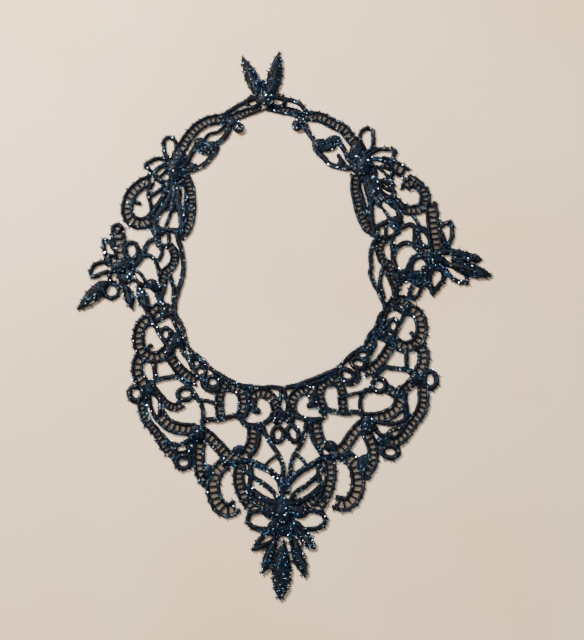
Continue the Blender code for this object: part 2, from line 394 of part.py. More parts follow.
# Where a place of the left half lies on the right half.
LANDMARKS = (
    Landmark("clasp ring", -22, 144, -5, 144.7),
    Landmark("strap end", -15.6, 141.3, -12.2, 141.3),
    Landmark("top edge", -31, 142.3, 7, 144.6),
    Landmark("strap waist", -41, 134.6, 15, 136.6),
    Landmark("ball", -31.5, 126.5, 7.8, 127.8),
    Landmark("strap hole", -47, 125.5, 24, 126),
    Landmark("leaf tape", -57, 128.2, 32.4, 129.0),
    Landmark("leaf tape bend", -62.3, 123.4, 38.9, 125.2),
    Landmark("leaf tape low", -66.2, 118, 42.4, 120.8),
    Landmark("bud", -49.3, 112.6, 22.5, 114.3),
    Landmark("band hole", -57.5, 105.5, 33.5, 108.4),
    Landmark("band edge", -55, 99.6, 30, 100),
    Landmark("band eyelet", -65.6, 99.4, 42, 101.5),
    Landmark("petal one", -77.6, 113.0, 54.5, 119.5),
    Landmark("petal one tip", -80.9, 119.3, 57.8, 126.0),
    Landmark("petal two", -86, 101.2, 66, 107.7),
    Landmark("petal two tip", -93.2, 100.4, 73.0, 110.3),
    Landmark("petal three", -81.5, 93.5, 67.3, 93.2),
    Landmark("shoulder knot", -74, 97, 52.0, 100),
    Landmark("hem top", -63.5, 86, 46, 88),
    Landmark("hem eyelet", -62.6, 73.4, 48, 75),
    Landmark("hem foot", -64, 60, 52.4, 60.6),
    Landmark("shoulder foot", -69.5, 51.6, 59.4, 54),
    Landmark("rib hole", -81, 63, 69.3, 71.5),
    Landmark("rib hole two", -73, 63, 61, 66.5),
    Landmark("rib one", -84.5, 82.3, 66.5, 84.5),
    Landmark("bud end", -86.5, 55.3, 76, 60.5),
    Landmark("stem hole", -87, 43.5, 78.5, 53),
    Landmark("large hole", -90.5, 31, 79.5, 38),
    Landmark("link foot", -82.8, 36.4, 71.6, 41.5),
    Landmark("scroll space", -78.5, 36, 67.2, 42),
    Landmark("scroll side", -72.8, 38, 62.0, 42),
    Landmark("inner ball", -86, 19.2, 75.4, 24.5),
    Landmark("foot hole", -87, 12, 78, 17),
    Landmark("neck hole", -76.6, 13.5, 65.2, 21.5),
    Landmark("neck slit", -71.4, 24.5, 59, 28),
    Landmark("neck high", -66.9, 33, 56.2, 34),
    Landmark("neck middle", -69.5, 17, 58.6, 18.5),
    Landmark("neck waist", -72.0, 5, 64.6, 5),
    Landmark("eye hole", -76, -6, 70, 0.5),
    Landmark("eye ring", -77.6, -13.0, 69.7, -7.6),
    Landmark("v hole", -84.5, -17.5, 79.3, -9.5),
    Landmark("v scroll", -95.2, -16, 88.5, -8),
    Landmark("slit", -66, -29, 60, -21.5),
    Landmark("neck elbow", -63.4, -21, 53.0, -17.5),
    Landmark("neck upper bib", -67.5, -7.5, 60.0, -5.5),
    Landmark("z hole", -88.5, -35.5, 82.5, -28.5),
    Landmark("y hole", -77.5, -36.5, 71.5, -31),
    Landmark("oval hole", -74, -48.5, 71.5, -41.5),
    Landmark("drop hole", -64.0, -51.6, 60, -45.3),
    Landmark("large pocket", -62, -63, 58.5, -57.5),
    Landmark("long hole", -51, -51, 46, -46.5),
    Landmark("low hole", -49, -61.5, 44, -56.5),
    Landmark("arch hole", -35.5, -58, 29, -54.5),
    Landmark("neck lobe", -47, -36.2, 38, -31.3),
    Landmark("yellow hole", -36, -76.5, 33.5, -73),
    Landmark("knot", -56, -77, 53, -71.5),
    Landmark("side ladder", -54.6, -96, 56, -88.5),
    Landmark("triangle hole", -46, -95, 46.5, -89.5),
    Landmark("lobe hole", -35.5, -110, 35, -106),
    Landmark("lobe foot", -36, -125, 37, -121.4),
    Landmark("lobe side", -45.7, -111, 46.2, -107.5),
    Landmark("moon hole", -18, -66.5, 16.5, -62.8),
    Landmark("long drop hole", -13, -87.5, 15, -86.8),
    Landmark("crescent hole", -12, -105.5, 11, -107.0),
    Landmark("axis top", -1.5, -50, -1.5, -50),
    Landmark("axis ring", -0.5, -69.6, -0.5, -69.6),
    Landmark("axis two", 1.0, -84, 1.0, -84),
    Landmark("axis three", 1.0, -99, 1.0, -99),
    Landmark("axis four", -0.5, -112, -0.5, -112),
    Landmark("pendant loop", -23.4, -131.8, 25.2, -131.6),
    Landmark("axis five", -0.8, -135, -0.8, -135),
)

# Each lace piece: its name and the tables that it is made from. A piece gives way to those above it.
# "left" is laid as written, "mirrored" is carried over to the right half.
PIECES = (
    ("pendant", (("left", PENDANT_BOTH, PENDANT_OVALS), ("mirrored", PENDANT_BOTH, PENDANT_OVALS),
                 ("left", PENDANT_LEFT, PENDANT_AXIS))),
    ("bib_inner_left", (("left", BIB_INNER, BIB_INNER_OVALS),)),
    ("bib_inner_right", (("mirrored", BIB_INNER, BIB_INNER_OVALS), ("left", BIB_INNER_RIGHT, ()))),
    ("bib_lower_left", (("left", BIB_LOWER, BIB_LOWER_OVALS),)),
    ("bib_lower_right", (("mirrored", BIB_LOWER, BIB_LOWER_OVALS),)),
    ("bib_outer_left", (("left", BIB_OUTER, BIB_OUTER_OVALS),)),
    ("bib_outer_right", (("left", BIB_OUTER_RIGHT, BIB_OUTER_RIGHT_OVALS),)),
    ("bib_upper_left", (("left", BIB_UPPER, BIB_UPPER_OVALS),)),
    ("bib_upper_right", (("mirrored", BIB_UPPER, BIB_UPPER_OVALS),)),
    ("shoulder_left", (("left", SHOULDER, SHOULDER_OVALS), ("left", SCROLL_LEFT, SCROLL_LEFT_OVALS))),
    ("shoulder_right", (("mirrored", SHOULDER, SHOULDER_OVALS), ("left", SCROLL_RIGHT, SCROLL_RIGHT_OVALS),
                        ("left", (), SHOULDER_RIGHT_OVALS))),
    ("side_left", (("left", SIDE, SIDE_OVALS),)),
    ("side_right", (("mirrored", SIDE, SIDE_OVALS), ("left", SIDE_RIGHT, ()))),
    ("sprig_left", (("left", SPRIG_LEFT, SPRIG_LEFT_OVALS),)),
    ("sprig_right", (("left", SPRIG_RIGHT, SPRIG_RIGHT_OVALS),)),
    ("strap_left", (("left", STRAP, STRAP_OVALS), ("left", STRAP_LEFT, ()))),
    ("strap_right", (("mirrored", STRAP, STRAP_OVALS), ("left", STRAP_RIGHT, STRAP_RIGHT_OVALS))),
)

FIELD_LOW = (-140.0, -184.0)
FIELD_HIGH = (140.0, 184.0)
FAR = 9.0


def smooth(route, step=CURVE_STEP):
    """Read a smooth curve through the points of a route, a step or so apart."""
    points = np.array(route, float)
    if len(points) == 2:
        count = max(2, int(np.ceil(np.linalg.norm(points[1] - points[0]) / step)) + 1)
        return points[0] + (points[1] - points[0]) * np.linspace(0, 1, count)[:, None]
    ends = np.vstack([2 * points[0] - points[1], points, 2 * points[-1] - points[-2]])
    out = []
    for a, b, c, d in zip(ends[:-3], ends[1:-2], ends[2:-1], ends[3:]):
        count = max(1, int(np.ceil(np.linalg.norm(c - b) / step)))
        t1, t2, t3 = (math.sqrt(np.linalg.norm(v)) for v in (b - a, c - b, d - c))
        slope_b = t2 * ((b - a) / t1 - (c - a) / (t1 + t2) + (c - b) / t2)
        slope_c = t2 * ((c - b) / t2 - (d - b) / (t2 + t3) + (d - c) / t3)
        for t in np.arange(count) / count:
            out.append((2 * t**3 - 3 * t**2 + 1) * b + (t**3 - 2 * t**2 + t) * slope_b
                       + (3 * t**2 - 2 * t**3) * c + (t**3 - t**2) * slope_c)
    out.append(points[-1])
    return np.array(out)


def oval_points(oval, count=24):
    """The points round an oval, closed."""
    angle = np.linspace(0, 2 * math.pi, count + 1)
    turn = math.radians(oval.tilt)
    x = oval.rx * np.cos(angle)
    y = oval.ry * np.sin(angle)
    return np.c_[oval.x + math.cos(turn) * x - math.sin(turn) * y, oval.y + math.sin(turn) * x + math.cos(turn) * y]


def to_right(points):
    """Turn points of the left half over and lay them where the right half lies.

    Every point is moved by the turn, growth and shift that fit the landmarks near it best.
    """
    turned = np.asarray(points, float) * [-1, 1]
    source = np.array([[-m.left_x, m.left_y] for m in LANDMARKS], float)
    target = np.array([[m.right_x, m.right_y] for m in LANDMARKS], float)
    out = np.empty_like(turned)
    for i, point in enumerate(turned):
        weight = 1.0 / (((source - point) ** 2).sum(1) + 0.5) ** 1.6
        centre, goal = (weight @ source) / weight.sum(), (weight @ target) / weight.sum()
        a, b = source - centre, target - goal
        size = (weight * (a ** 2).sum(1)).sum()
        along = (weight * (a * b).sum(1)).sum() / size
        across = (weight * (a[:, 0] * b[:, 1] - a[:, 1] * b[:, 0])).sum() / size
        dx, dy = point - centre
        out[i] = goal + [along * dx - across * dy, across * dx + along * dy]
    return out


def leaf_half_width(leaf, share):
    """Half the width of a leaf at a share of the way from its base to its tip."""
    share = np.clip(share, 0, 1)
    bend = math.log(0.5) / math.log(leaf.widest)
    return leaf.width / 2 * np.sin(math.pi * share ** bend) ** LEAF_FULLNESS


def leaf_axis(leaf):
    """A leaf's base, its direction and its length."""
    base = np.array([leaf.base_x, leaf.base_y])
    reach = np.array([leaf.tip_x, leaf.tip_y]) - base
    length = float(np.linalg.norm(reach))
    return base, reach / length, length


class Field:
    """How far each point of a grid over the collar lies outside the lace, below zero inside it."""

    def __init__(self):
        self.x = np.arange(FIELD_LOW[0], FIELD_HIGH[0] + FIELD_STEP / 2, FIELD_STEP)
        self.y = np.arange(FIELD_LOW[1], FIELD_HIGH[1] + FIELD_STEP / 2, FIELD_STEP)
        self.value = np.full((len(self.y), len(self.x)), FAR)

    def window(self, low, high):
        """The rows and columns of the grid between two corners."""
        columns = slice(max(0, int(np.searchsorted(self.x, low[0]))), int(np.searchsorted(self.x, high[0])))
        rows = slice(max(0, int(np.searchsorted(self.y, low[1]))), int(np.searchsorted(self.y, high[1])))
        return rows, columns

    def add_line(self, points, width):
        """Join a strand of one width, with round ends."""
        for a, b in zip(points[:-1], points[1:]):
            reach = width / 2 + FAR / 2
            rows, columns = self.window(np.minimum(a, b) - reach, np.maximum(a, b) + reach)
            gx, gy = np.meshgrid(self.x[columns], self.y[rows])
            along = b - a
            share = ((gx - a[0]) * along[0] + (gy - a[1]) * along[1]) / max(float(along @ along), 1e-9)
            share = np.clip(share, 0, 1)
            gap = np.hypot(gx - a[0] - share * along[0], gy - a[1] - share * along[1]) - width / 2
            self.value[rows, columns] = np.minimum(self.value[rows, columns], gap)

    def add_polygon(self, points):
        """Join a filled, outward-curved outline."""
        reach = FAR / 2
        rows, columns = self.window(points.min(0) - reach, points.max(0) + reach)
        gx, gy = np.meshgrid(self.x[columns], self.y[rows])
        gap = np.full(gx.shape, FAR)
        inside = np.zeros(gx.shape, bool)
        for a, b in zip(points[:-1], points[1:]):
            along = b - a
            share = ((gx - a[0]) * along[0] + (gy - a[1]) * along[1]) / max(float(along @ along), 1e-9)
            share = np.clip(share, 0, 1)
            gap = np.minimum(gap, np.hypot(gx - a[0] - share * along[0], gy - a[1] - share * along[1]))
            crosses = ((a[1] > gy) != (b[1] > gy)) & (gx < (b[0] - a[0]) * (gy - a[1]) / (b[1] - a[1] + 1e-12) + a[0])
            inside ^= crosses
        gap = np.where(inside, -gap, gap)
        self.value[rows, columns] = np.minimum(self.value[rows, columns], gap)

    def give_way(self, other, gap):
        """Draw back from what another field covers, by a gap."""
        self.value = np.maximum(self.value, gap - other.value)

    def join(self, other):
        """Take in what another field covers."""
        self.value = np.minimum(self.value, other.value)

    def soften(self, passes):
        """Round the sharp inner corners where strands meet."""
        value = np.clip(self.value, -1.5, 1.5)
        for _ in range(passes):
            value = (np.roll(value, 1, 0) + np.roll(value, -1, 0) + 2 * value) / 4
            value = (np.roll(value, 1, 1) + np.roll(value, -1, 1) + 2 * value) / 4
        self.value = np.where(np.abs(self.value) < 1.5, value, self.value)


def contours(field):
    """The closed outlines where a field is zero, outer ones running left about their inside."""
    value, x, y = field.value, field.x, field.y
    solid = value < 0
    crossing = {}

    def across(r0, c0, r1, c1):
        """The point between two grid points where the field is zero."""
        key = (r0, c0, r1, c1) if (r0, c0) < (r1, c1) else (r1, c1, r0, c0)
        if key not in crossing:
            a, b = value[key[0], key[1]], value[key[2], key[3]]
            share = min(max(a / (a - b), 0.02), 0.98)
            crossing[key] = (x[key[1]] + share * (x[key[3]] - x[key[1]]), y[key[0]] + share * (y[key[2]] - y[key[0]]))
        return key

    nexts = {}
    cells = solid[:-1, :-1].astype(int) + solid[:-1, 1:] + solid[1:, 1:] + solid[1:, :-1]
    for r, c in np.argwhere((cells > 0) & (cells < 4)):
        corners = ((r, c), (r, c + 1), (r + 1, c + 1), (r + 1, c))
        state = [bool(solid[k]) for k in corners]
        leaving, entering = [], []
        for i in range(4):
            j = (i + 1) % 4
            if state[i] and not state[j]:
                leaving.append((i, across(*corners[i], *corners[j])))
            if not state[i] and state[j]:
                entering.append((i, across(*corners[i], *corners[j])))
        for i, start in leaving:
            goal = min(entering, key=lambda e: (i - e[0]) % 4)
            nexts[start] = goal[1]
    loops = []
    while nexts:
        start = next(iter(nexts))
        loop = [start]
        key = nexts.pop(start)
        while key != start:
            loop.append(key)
            key = nexts.pop(key)
        loops.append(np.array([crossing[k] for k in loop]))
    return loops


def loop_area(loop):
    """The signed area inside a loop."""
    x, y = loop[:, 0], loop[:, 1]
    return 0.5 * float(np.sum(x * np.roll(y, -1) - np.roll(x, -1) * y))


def thin_line(points, ease):
    """Leave out the points that lie within an ease of the line between those kept."""
    keep = np.zeros(len(points), bool)
    keep[[0, -1]] = True
    spans = [(0, len(points) - 1)]
    while spans:
        first, last = spans.pop()
        if last <= first + 1:
            continue
        a, b = points[first], points[last]
        along = (b - a) / (np.linalg.norm(b - a) + 1e-12)
        rest = points[first + 1:last] - a
        away = np.abs(rest[:, 0] * along[1] - rest[:, 1] * along[0])
        far = int(np.argmax(away))
        if away[far] > ease:
            keep[first + 1 + far] = True
            spans += [(first, first + 1 + far), (first + 1 + far, last)]
    return points[keep]


def simple_loop(loop):
    """Thin a closed loop, starting from its two points that lie furthest apart."""
    start = int(np.argmax(((loop - loop.mean(0)) ** 2).sum(1)))
    loop = np.roll(loop, -start, axis=0)
    half = int(np.argmax(((loop - loop[0]) ** 2).sum(1)))
    first = thin_line(loop[:half + 1], OUTLINE_EASE)
    second = thin_line(np.vstack([loop[half:], loop[:1]]), OUTLINE_EASE)
    points = np.vstack([first[:-1], second[:-1]])
    kept = [points[0]]
    for point in points[1:]:
        if np.linalg.norm(point - kept[-1]) > SMALLEST_EDGE:
            kept.append(point)
    if np.linalg.norm(kept[-1] - kept[0]) <= SMALLEST_EDGE:
        kept.pop()
    return np.array(kept)


def piece_field(parts):
    """The field of one lace piece from its tables."""
    field = Field()
    holes = Field()
    for side, strands, ovals in parts:
        place = to_right if side == "mirrored" else np.asarray
        for strand in strands:
            field.add_line(place(smooth(strand.route)), strand.width + 2 * BEAD_OVERHANG)
        for oval in ovals:
            round_line = place(oval_points(oval))
            if oval.kind == "ring":
                field.add_line(round_line, oval.width + 2 * BEAD_OVERHANG)
            elif oval.kind == "pad":
                field.add_polygon(round_line)
            else:
                holes.add_polygon(round_line)
    field.give_way(holes, 0.0)
    return field


def leaf_outline(leaf, count=12):
    """The outline of a leaf, closed."""
    base, along, length = leaf_axis(leaf)
    side = np.array([-along[1], along[0]])
    share = np.linspace(0, 1, count + 1)
    middle = base + np.outer(share * length, along)
    half = leaf_half_width(leaf, share)[:, None]
    return np.vstack([middle + side * half, (middle - side * half)[-2::-1]])


def material(finish):
    """A plain surface with one colour."""
    surface = bpy.data.materials.new(finish.name)
    surface.use_nodes = True
    shader = surface.node_tree.nodes["Principled BSDF"]
    shader.inputs["Base Color"].default_value = (finish.red, finish.green, finish.blue, 1.0)
    shader.inputs["Roughness"].default_value = finish.roughness
    shader.inputs["Metallic"].default_value = finish.metallic
    return surface


def add_object(name, mesh, collection, finish):
    """Put a mesh in the collection under a name, with its material."""
    mesh.name = name
    obj = bpy.data.objects.new(name, mesh)
    collection.objects.link(obj)
    mesh.materials.clear()
    mesh.materials.append(finish)
    return obj


def slab(name, loops, low, high, collection, finish):
    """A flat piece with the given outline and holes, from one height to another."""
    curve = bpy.data.curves.new(name, "CURVE")
    curve.dimensions = "2D"
    curve.fill_mode = "BOTH"
    curve.extrude = (high - low) / 2 * MM
    for loop in loops:
        spline = curve.splines.new("POLY")
        spline.points.add(len(loop) - 1)
        for place, point in zip(spline.points, loop):
            place.co = (point[0] * MM, point[1] * MM, 0.0, 1.0)
        spline.use_cyclic_u = True
    guide = bpy.data.objects.new(name + "_outline", curve)
    collection.objects.link(guide)
    bpy.context.view_layer.update()
    mesh = bpy.data.meshes.new_from_object(guide.evaluated_get(bpy.context.evaluated_depsgraph_get()))
    bpy.data.objects.remove(guide)
    bpy.data.curves.remove(curve)
    work = bmesh.new()
    work.from_mesh(mesh)
    bmesh.ops.remove_doubles(work, verts=work.verts, dist=0.00001)
    bmesh.ops.translate(work, verts=work.verts, vec=(0, 0, (low + high) / 2 * MM))
    bmesh.ops.recalc_face_normals(work, faces=work.faces)
    work.to_mesh(mesh)
    work.free()
    return add_object(name, mesh, collection, finish)


def half_ball(segments, rings):
    """The upper half of a ball of radius 1 with its poles along X, closed flat at the bottom."""
    work = bmesh.new()
    bmesh.ops.create_uvsphere(work, u_segments=segments, v_segments=rings, radius=1.0)
    bmesh.ops.rotate(work, verts=work.verts, cent=(0, 0, 0), matrix=Matrix.Rotation(math.pi / 2, 3, "Y"))
    cut = bmesh.ops.bisect_plane(work, geom=work.verts[:] + work.edges[:] + work.faces[:], dist=1e-5,
                                 plane_co=(0, 0, 0), plane_no=(0, 0, 1), clear_inner=True)
    rim = [e for e in cut["geom_cut"] if isinstance(e, bmesh.types.BMEdge)]
    bmesh.ops.contextual_create(work, geom=rim)
    bmesh.ops.recalc_face_normals(work, faces=work.faces)
    return work


def finish_ball(work, name, turn, centre, collection, finish):
    """Turn a shaped half ball, move it to its place and keep it as an object."""
    bmesh.ops.rotate(work, verts=work.verts, cent=(0, 0, 0), matrix=Matrix.Rotation(turn, 3, "Z"))
    bmesh.ops.scale(work, verts=work.verts, vec=(MM, MM, MM))
    bmesh.ops.translate(work, verts=work.verts, vec=Vector(centre) * MM)
    mesh = bpy.data.meshes.new(name)
    work.to_mesh(mesh)
    work.free()
    obj = add_object(name, mesh, collection, finish)
    mesh.shade_smooth()
    mesh.set_sharp_from_angle(angle=math.radians(40))
    return obj


def make_leaf(leaf, collection, finish):
    """A padded leaf, flat below and crowned above, that runs to a point."""
    base, along, length = leaf_axis(leaf)
    work = half_ball(LEAF_SEGMENTS, LEAF_RINGS)
    for vert in work.verts:
        share = (vert.co.x + 1) / 2
        ring = math.sqrt(max(1 - vert.co.x ** 2, 1e-9))
        half = float(leaf_half_width(leaf, share))
        vert.co = Vector((share * length, vert.co.y / ring * half,
                          vert.co.z / ring * LEAF_HEIGHT * min(1.0, LEAF_END_HEIGHT + 2 * half / leaf.width)))
        if share < 1e-4 or share > 1 - 1e-4:
            vert.co.y = 0.0
            vert.co.z = 0.0
    return finish_ball(work, leaf.name, math.atan2(along[1], along[0]), (base[0], base[1], 0.0), collection, finish)


def make_knot(knot, collection, finish):
    """A wound knot: a low dome on the lace."""
    work = half_ball(KNOT_SEGMENTS, KNOT_RINGS)
    bmesh.ops.scale(work, verts=work.verts, vec=(knot.rx, knot.ry, knot.high - knot.low))
    return finish_ball(work, knot.name, math.radians(knot.tilt), (knot.x, knot.y, knot.low), collection, finish)


def make_fastener(collection, finish):
    """The hidden hook on the left strap and the stud on the right strap that it lies round."""
    level = LACE_THICK + RAISED_GAP
    stud = bmesh.new()
    bmesh.ops.create_cone(stud, cap_ends=True, segments=16, radius1=STUD_RADIUS * MM, radius2=STUD_RADIUS * MM,
                          depth=STUD_HEIGHT * MM)
    bmesh.ops.translate(stud, verts=stud.verts, vec=Vector((STUD_X, STUD_Y, level + STUD_HEIGHT / 2)) * MM)
    mesh = bpy.data.meshes.new("clasp_stud")
    stud.to_mesh(mesh)
    stud.free()
    add_object("clasp_stud", mesh, collection, finish)
    reach = STUD_RADIUS + HOOK_RADIUS + RAISED_GAP
    route = [(STUD_X - HOOK_TAIL, STUD_Y + reach), (STUD_X - HOOK_NECK, STUD_Y + reach)]
    for step in range(HOOK_STEPS + 1):
        angle = math.pi / 2 - step * math.pi / HOOK_STEPS
        route.append((STUD_X + reach * math.cos(angle), STUD_Y + reach * math.sin(angle)))
    curve = bpy.data.curves.new("clasp_hook", "CURVE")
    curve.dimensions = "3D"
    curve.bevel_depth = HOOK_RADIUS * MM
    curve.bevel_resolution = 2
    curve.use_fill_caps = True
    spline = curve.splines.new("POLY")
    spline.points.add(len(route) - 1)
    for place, (x, y) in zip(spline.points, route):
        place.co = (x * MM, y * MM, (level + HOOK_RADIUS) * MM, 1.0)
    hook = bpy.data.objects.new("clasp_hook", curve)
    hook.data.materials.append(finish)
    collection.objects.link(hook)


def inside(point, loop):
    """Whether a point lies inside a loop."""
    ahead = np.roll(loop, -1, axis=0)
    spans = (loop[:, 1] > point[1]) != (ahead[:, 1] > point[1])
    rise = np.where(np.abs(ahead[:, 1] - loop[:, 1]) < 1e-12, 1e-12, ahead[:, 1] - loop[:, 1])
    at = (ahead[:, 0] - loop[:, 0]) * (point[1] - loop[:, 1]) / rise + loop[:, 0]
    return bool(np.count_nonzero(spans & (point[0] < at)) % 2)


def main():
    """Build the collar."""
    for obj in list(bpy.data.objects):
        bpy.data.objects.remove(obj)
    collection = bpy.data.collections.new("beaded_collar")
    bpy.context.scene.collection.children.link(collection)
    lace = material(WOUND_CORD)
    raised = material(BEADED_LEAF)
    knot_finish = material(WOUND_KNOT)
    steel = material(DARK_STEEL)

    taken = Field()
    for leaf in LEAVES:
        taken.add_polygon(leaf_outline(leaf))
    for name, parts in PIECES:
        field = piece_field(parts)
        field.soften(SOFTEN_PASSES)
        field.give_way(taken, SEAM_GAP)
        loops = contours(field)
        outer = max(loops, key=loop_area)
        holes = [loop for loop in loops if loop_area(loop) < -SMALLEST_HOLE]
        own_holes = [loop for loop in holes if inside(loop[0], outer)]
        slab(name, [simple_loop(loop) for loop in [outer] + own_holes], 0.0, LACE_THICK, collection, lace)
        taken.join(field)
    for leaf in LEAVES:
        make_leaf(leaf, collection, raised)
    for knot in KNOTS:
        make_knot(knot, collection, knot_finish)
    make_fastener(collection, steel)


main()
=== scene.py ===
"""The looks of a beaded lace collar, laid flat and hooked together at the nape.

The pattern tables are in millimetres, laid as the collar lies: x to the right, y towards the
clasp, the origin under the middle of the collar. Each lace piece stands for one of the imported
solids: a thin thread ground, half-round wound cords, a fine net in the ladder tapes and rows of
small glass beads. Padded leaves and wound knots are raised on it.
"""
import logging
import math
from dataclasses import dataclass, field
from enum import Enum

import bmesh
import bpy
import numpy as np
from mathutils import Matrix, Vector


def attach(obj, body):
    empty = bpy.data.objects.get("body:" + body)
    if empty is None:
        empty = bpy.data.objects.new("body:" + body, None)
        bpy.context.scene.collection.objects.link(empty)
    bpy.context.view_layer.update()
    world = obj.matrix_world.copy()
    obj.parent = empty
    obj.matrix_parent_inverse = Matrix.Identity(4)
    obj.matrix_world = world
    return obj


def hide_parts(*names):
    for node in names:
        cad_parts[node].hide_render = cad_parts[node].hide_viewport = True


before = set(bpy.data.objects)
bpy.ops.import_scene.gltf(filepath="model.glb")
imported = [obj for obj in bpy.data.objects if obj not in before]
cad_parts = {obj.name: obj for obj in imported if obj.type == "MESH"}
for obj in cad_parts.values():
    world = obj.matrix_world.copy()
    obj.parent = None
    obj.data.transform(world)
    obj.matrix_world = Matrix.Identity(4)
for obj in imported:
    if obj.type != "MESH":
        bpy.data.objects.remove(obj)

log = logging.getLogger("beaded_collar")

MM = 0.001
SEED = 7
TINY = 1e-12  # keeps a length that is divided by above zero

# Sizes that several sub-assemblies share, in millimetres. The beads along both sides of a cord
# make it a little wider than its thread.
BEAD_OVERHANG = 0.3
BEAD_RADIUS = 0.62
SMALL_BEAD_RADIUS = 0.55
BEAD_PITCH = 2.1 * BEAD_RADIUS
SMALL_BEAD_PITCH = 2.1 * SMALL_BEAD_RADIUS
LOOSE_PITCH = 1.1 * BEAD_PITCH
BEAD_SINK = 0.3  # how far a bead's middle stands over its thread, as a share of its radius

# The flat faces over the top of a cord and of a thin thread.
CORD_SIDES = 6
RUNG_SIDES = 4

# A wave texture repeats about three times in a unit at a scale of 1, so its scale is this number
# over the pitch.
WAVE_SCALE = math.pi / 10

Line = np.ndarray
Edge = tuple[tuple[int, int], tuple[int, int]]


class Kind(Enum):
    """What a strand or an oval of the pattern is made as."""

    CORD = "cord"
    TAPE = "tape"
    RING = "ring"
    PAD = "pad"
    HOLE = "hole"


class Side(Enum):
    """Whether a table is laid as written or carried over to the right half."""

    LEFT = "left"
    MIRRORED = "mirrored"


@dataclass(frozen=True)
class Strand:
    """A cord or a ladder tape along a smooth route."""

    name: str
    kind: Kind
    width: float
    route: tuple[tuple[float, float], ...]  # points that its middle passes through


@dataclass(frozen=True)
class Oval:
    """A ring, a filled pad or an eyelet hole."""

    name: str
    kind: Kind
    x: float
    y: float
    rx: float  # half its size before it is turned
    ry: float
    tilt: float  # degrees
    width: float  # of a ring's cord


Parts = tuple[tuple[Side, tuple[Strand, ...], tuple[Oval, ...]], ...]


@dataclass(frozen=True)
class Landmark:
    """Where a place of the left half lies on the right half."""

    name: str
    left_x: float
    left_y: float
    right_x: float
    right_y: float


def srgb(text: str) -> tuple[float, float, float, float]:
    """Turn an sRGB hex colour into a linear one.

    Args:
        text: A colour such as "#1a2b3c".

    Returns:
        Linear red, green and blue, and an alpha of 1.
    """
    shares = (int(text[i:i + 2], 16) / 255 for i in (1, 3, 5))
    red, green, blue = (c / 12.92 if c <= 0.04045 else ((c + 0.055) / 1.055) ** 2.4
                        for c in shares)
    return red, green, blue, 1.0


def add_node(tree: bpy.types.NodeTree, kind: str, **values: object) -> bpy.types.Node:
    """Add a node with its settings and links.

    Args:
        tree: The material's node tree.
        kind: The node's type name.
        values: Properties of the node, or its input sockets by name with spaces as underscores.

    Returns:
        The new node.
    """
    node = tree.nodes.new(kind)
    for name, value in values.items():
        label = name.replace("_", " ")
        if hasattr(node, name):
            setattr(node, name, value)
        elif isinstance(value, bpy.types.NodeSocket):
            tree.links.new(value, node.inputs[label])
        else:
            node.inputs[label].default_value = value
    return node


def set_ramp(ramp: bpy.types.ColorRamp, stops: tuple[tuple[float, str], ...],
             constant: bool = False) -> None:
    """Give a colour ramp its stops.

    Args:
        ramp: The ramp of a Color Ramp node.
        stops: Places from 0 to 1 with their sRGB colours.
        constant: Whether the colour jumps at each stop.
    """
    while len(ramp.elements) > 1:
        ramp.elements.remove(ramp.elements[-1])
    ramp.elements[0].position = stops[0][0]
    ramp.elements[0].color = srgb(stops[0][1])
    for place, colour in stops[1:]:
        ramp.elements.new(place).color = srgb(colour)
    if constant:
        ramp.interpolation = "CONSTANT"


def new_material(name: str) -> tuple[bpy.types.Material, bpy.types.NodeTree, bpy.types.Node]:
    """Start a node material.

    Args:
        name: Its name.

    Returns:
        The material, its node tree and its Principled shader.
    """
    surface = bpy.data.materials.new(name)
    surface.use_nodes = True
    return surface, surface.node_tree, surface.node_tree.nodes["Principled BSDF"]


@dataclass(frozen=True)
class ThreadFinish:
    """Viscose thread wound round a cord: nearly black, with fine turns and a blue lustre painted
    into its colour in random patches.
    """

    name: str
    dark: str  # the colour in the shade
    light: str  # and in the painted lustre
    turn: float  # the pitch of the winding in millimetres
    roughness: float
    relief: float = 0.12  # how far a turn stands out in millimetres
    patch: float = 6.25  # the size of the patches of painted lustre in millimetres
    specular: float = 0.18
    sheen: float = 0.03  # how much fine fibre stands off the thread
    sheen_tint: str = "#6f8fb8"

    def material(self) -> bpy.types.Material:
        """Make the material.

        Returns:
            The material.
        """
        surface, tree, shader = new_material(self.name)
        place = add_node(tree, "ShaderNodeAttribute", attribute_name="wind")
        turns = add_node(tree, "ShaderNodeTexWave", wave_type="BANDS", bands_direction="X",
                         Vector=place.outputs["Vector"], Scale=WAVE_SCALE / self.turn,
                         Distortion=1.2, Detail=1.0)
        where = add_node(tree, "ShaderNodeTexCoord")
        # Painted lustre: noise patches lighten the base colour from the dark colour to the lustre
        # colour.
        painted_lustre_patches = add_node(tree, "ShaderNodeTexNoise", Vector=where.outputs["Object"],
                           Scale=1 / (self.patch * MM), Detail=3.0)
        tint = add_node(tree, "ShaderNodeValToRGB", Fac=painted_lustre_patches.outputs["Fac"])
        set_ramp(tint.color_ramp, ((0.35, self.dark), (0.72, self.light)))
        raised = add_node(tree, "ShaderNodeBump", Height=turns.outputs["Fac"], Strength=0.55,
                          Distance=self.relief * MM)
        tree.links.new(tint.outputs["Color"], shader.inputs["Base Color"])
        tree.links.new(raised.outputs["Normal"], shader.inputs["Normal"])
        shader.inputs["Roughness"].default_value = self.roughness
        shader.inputs["Specular IOR Level"].default_value = self.specular
        shader.inputs["Sheen Weight"].default_value = self.sheen
        shader.inputs["Sheen Roughness"].default_value = 0.4
        shader.inputs["Sheen Tint"].default_value = srgb(self.sheen_tint)
        return surface


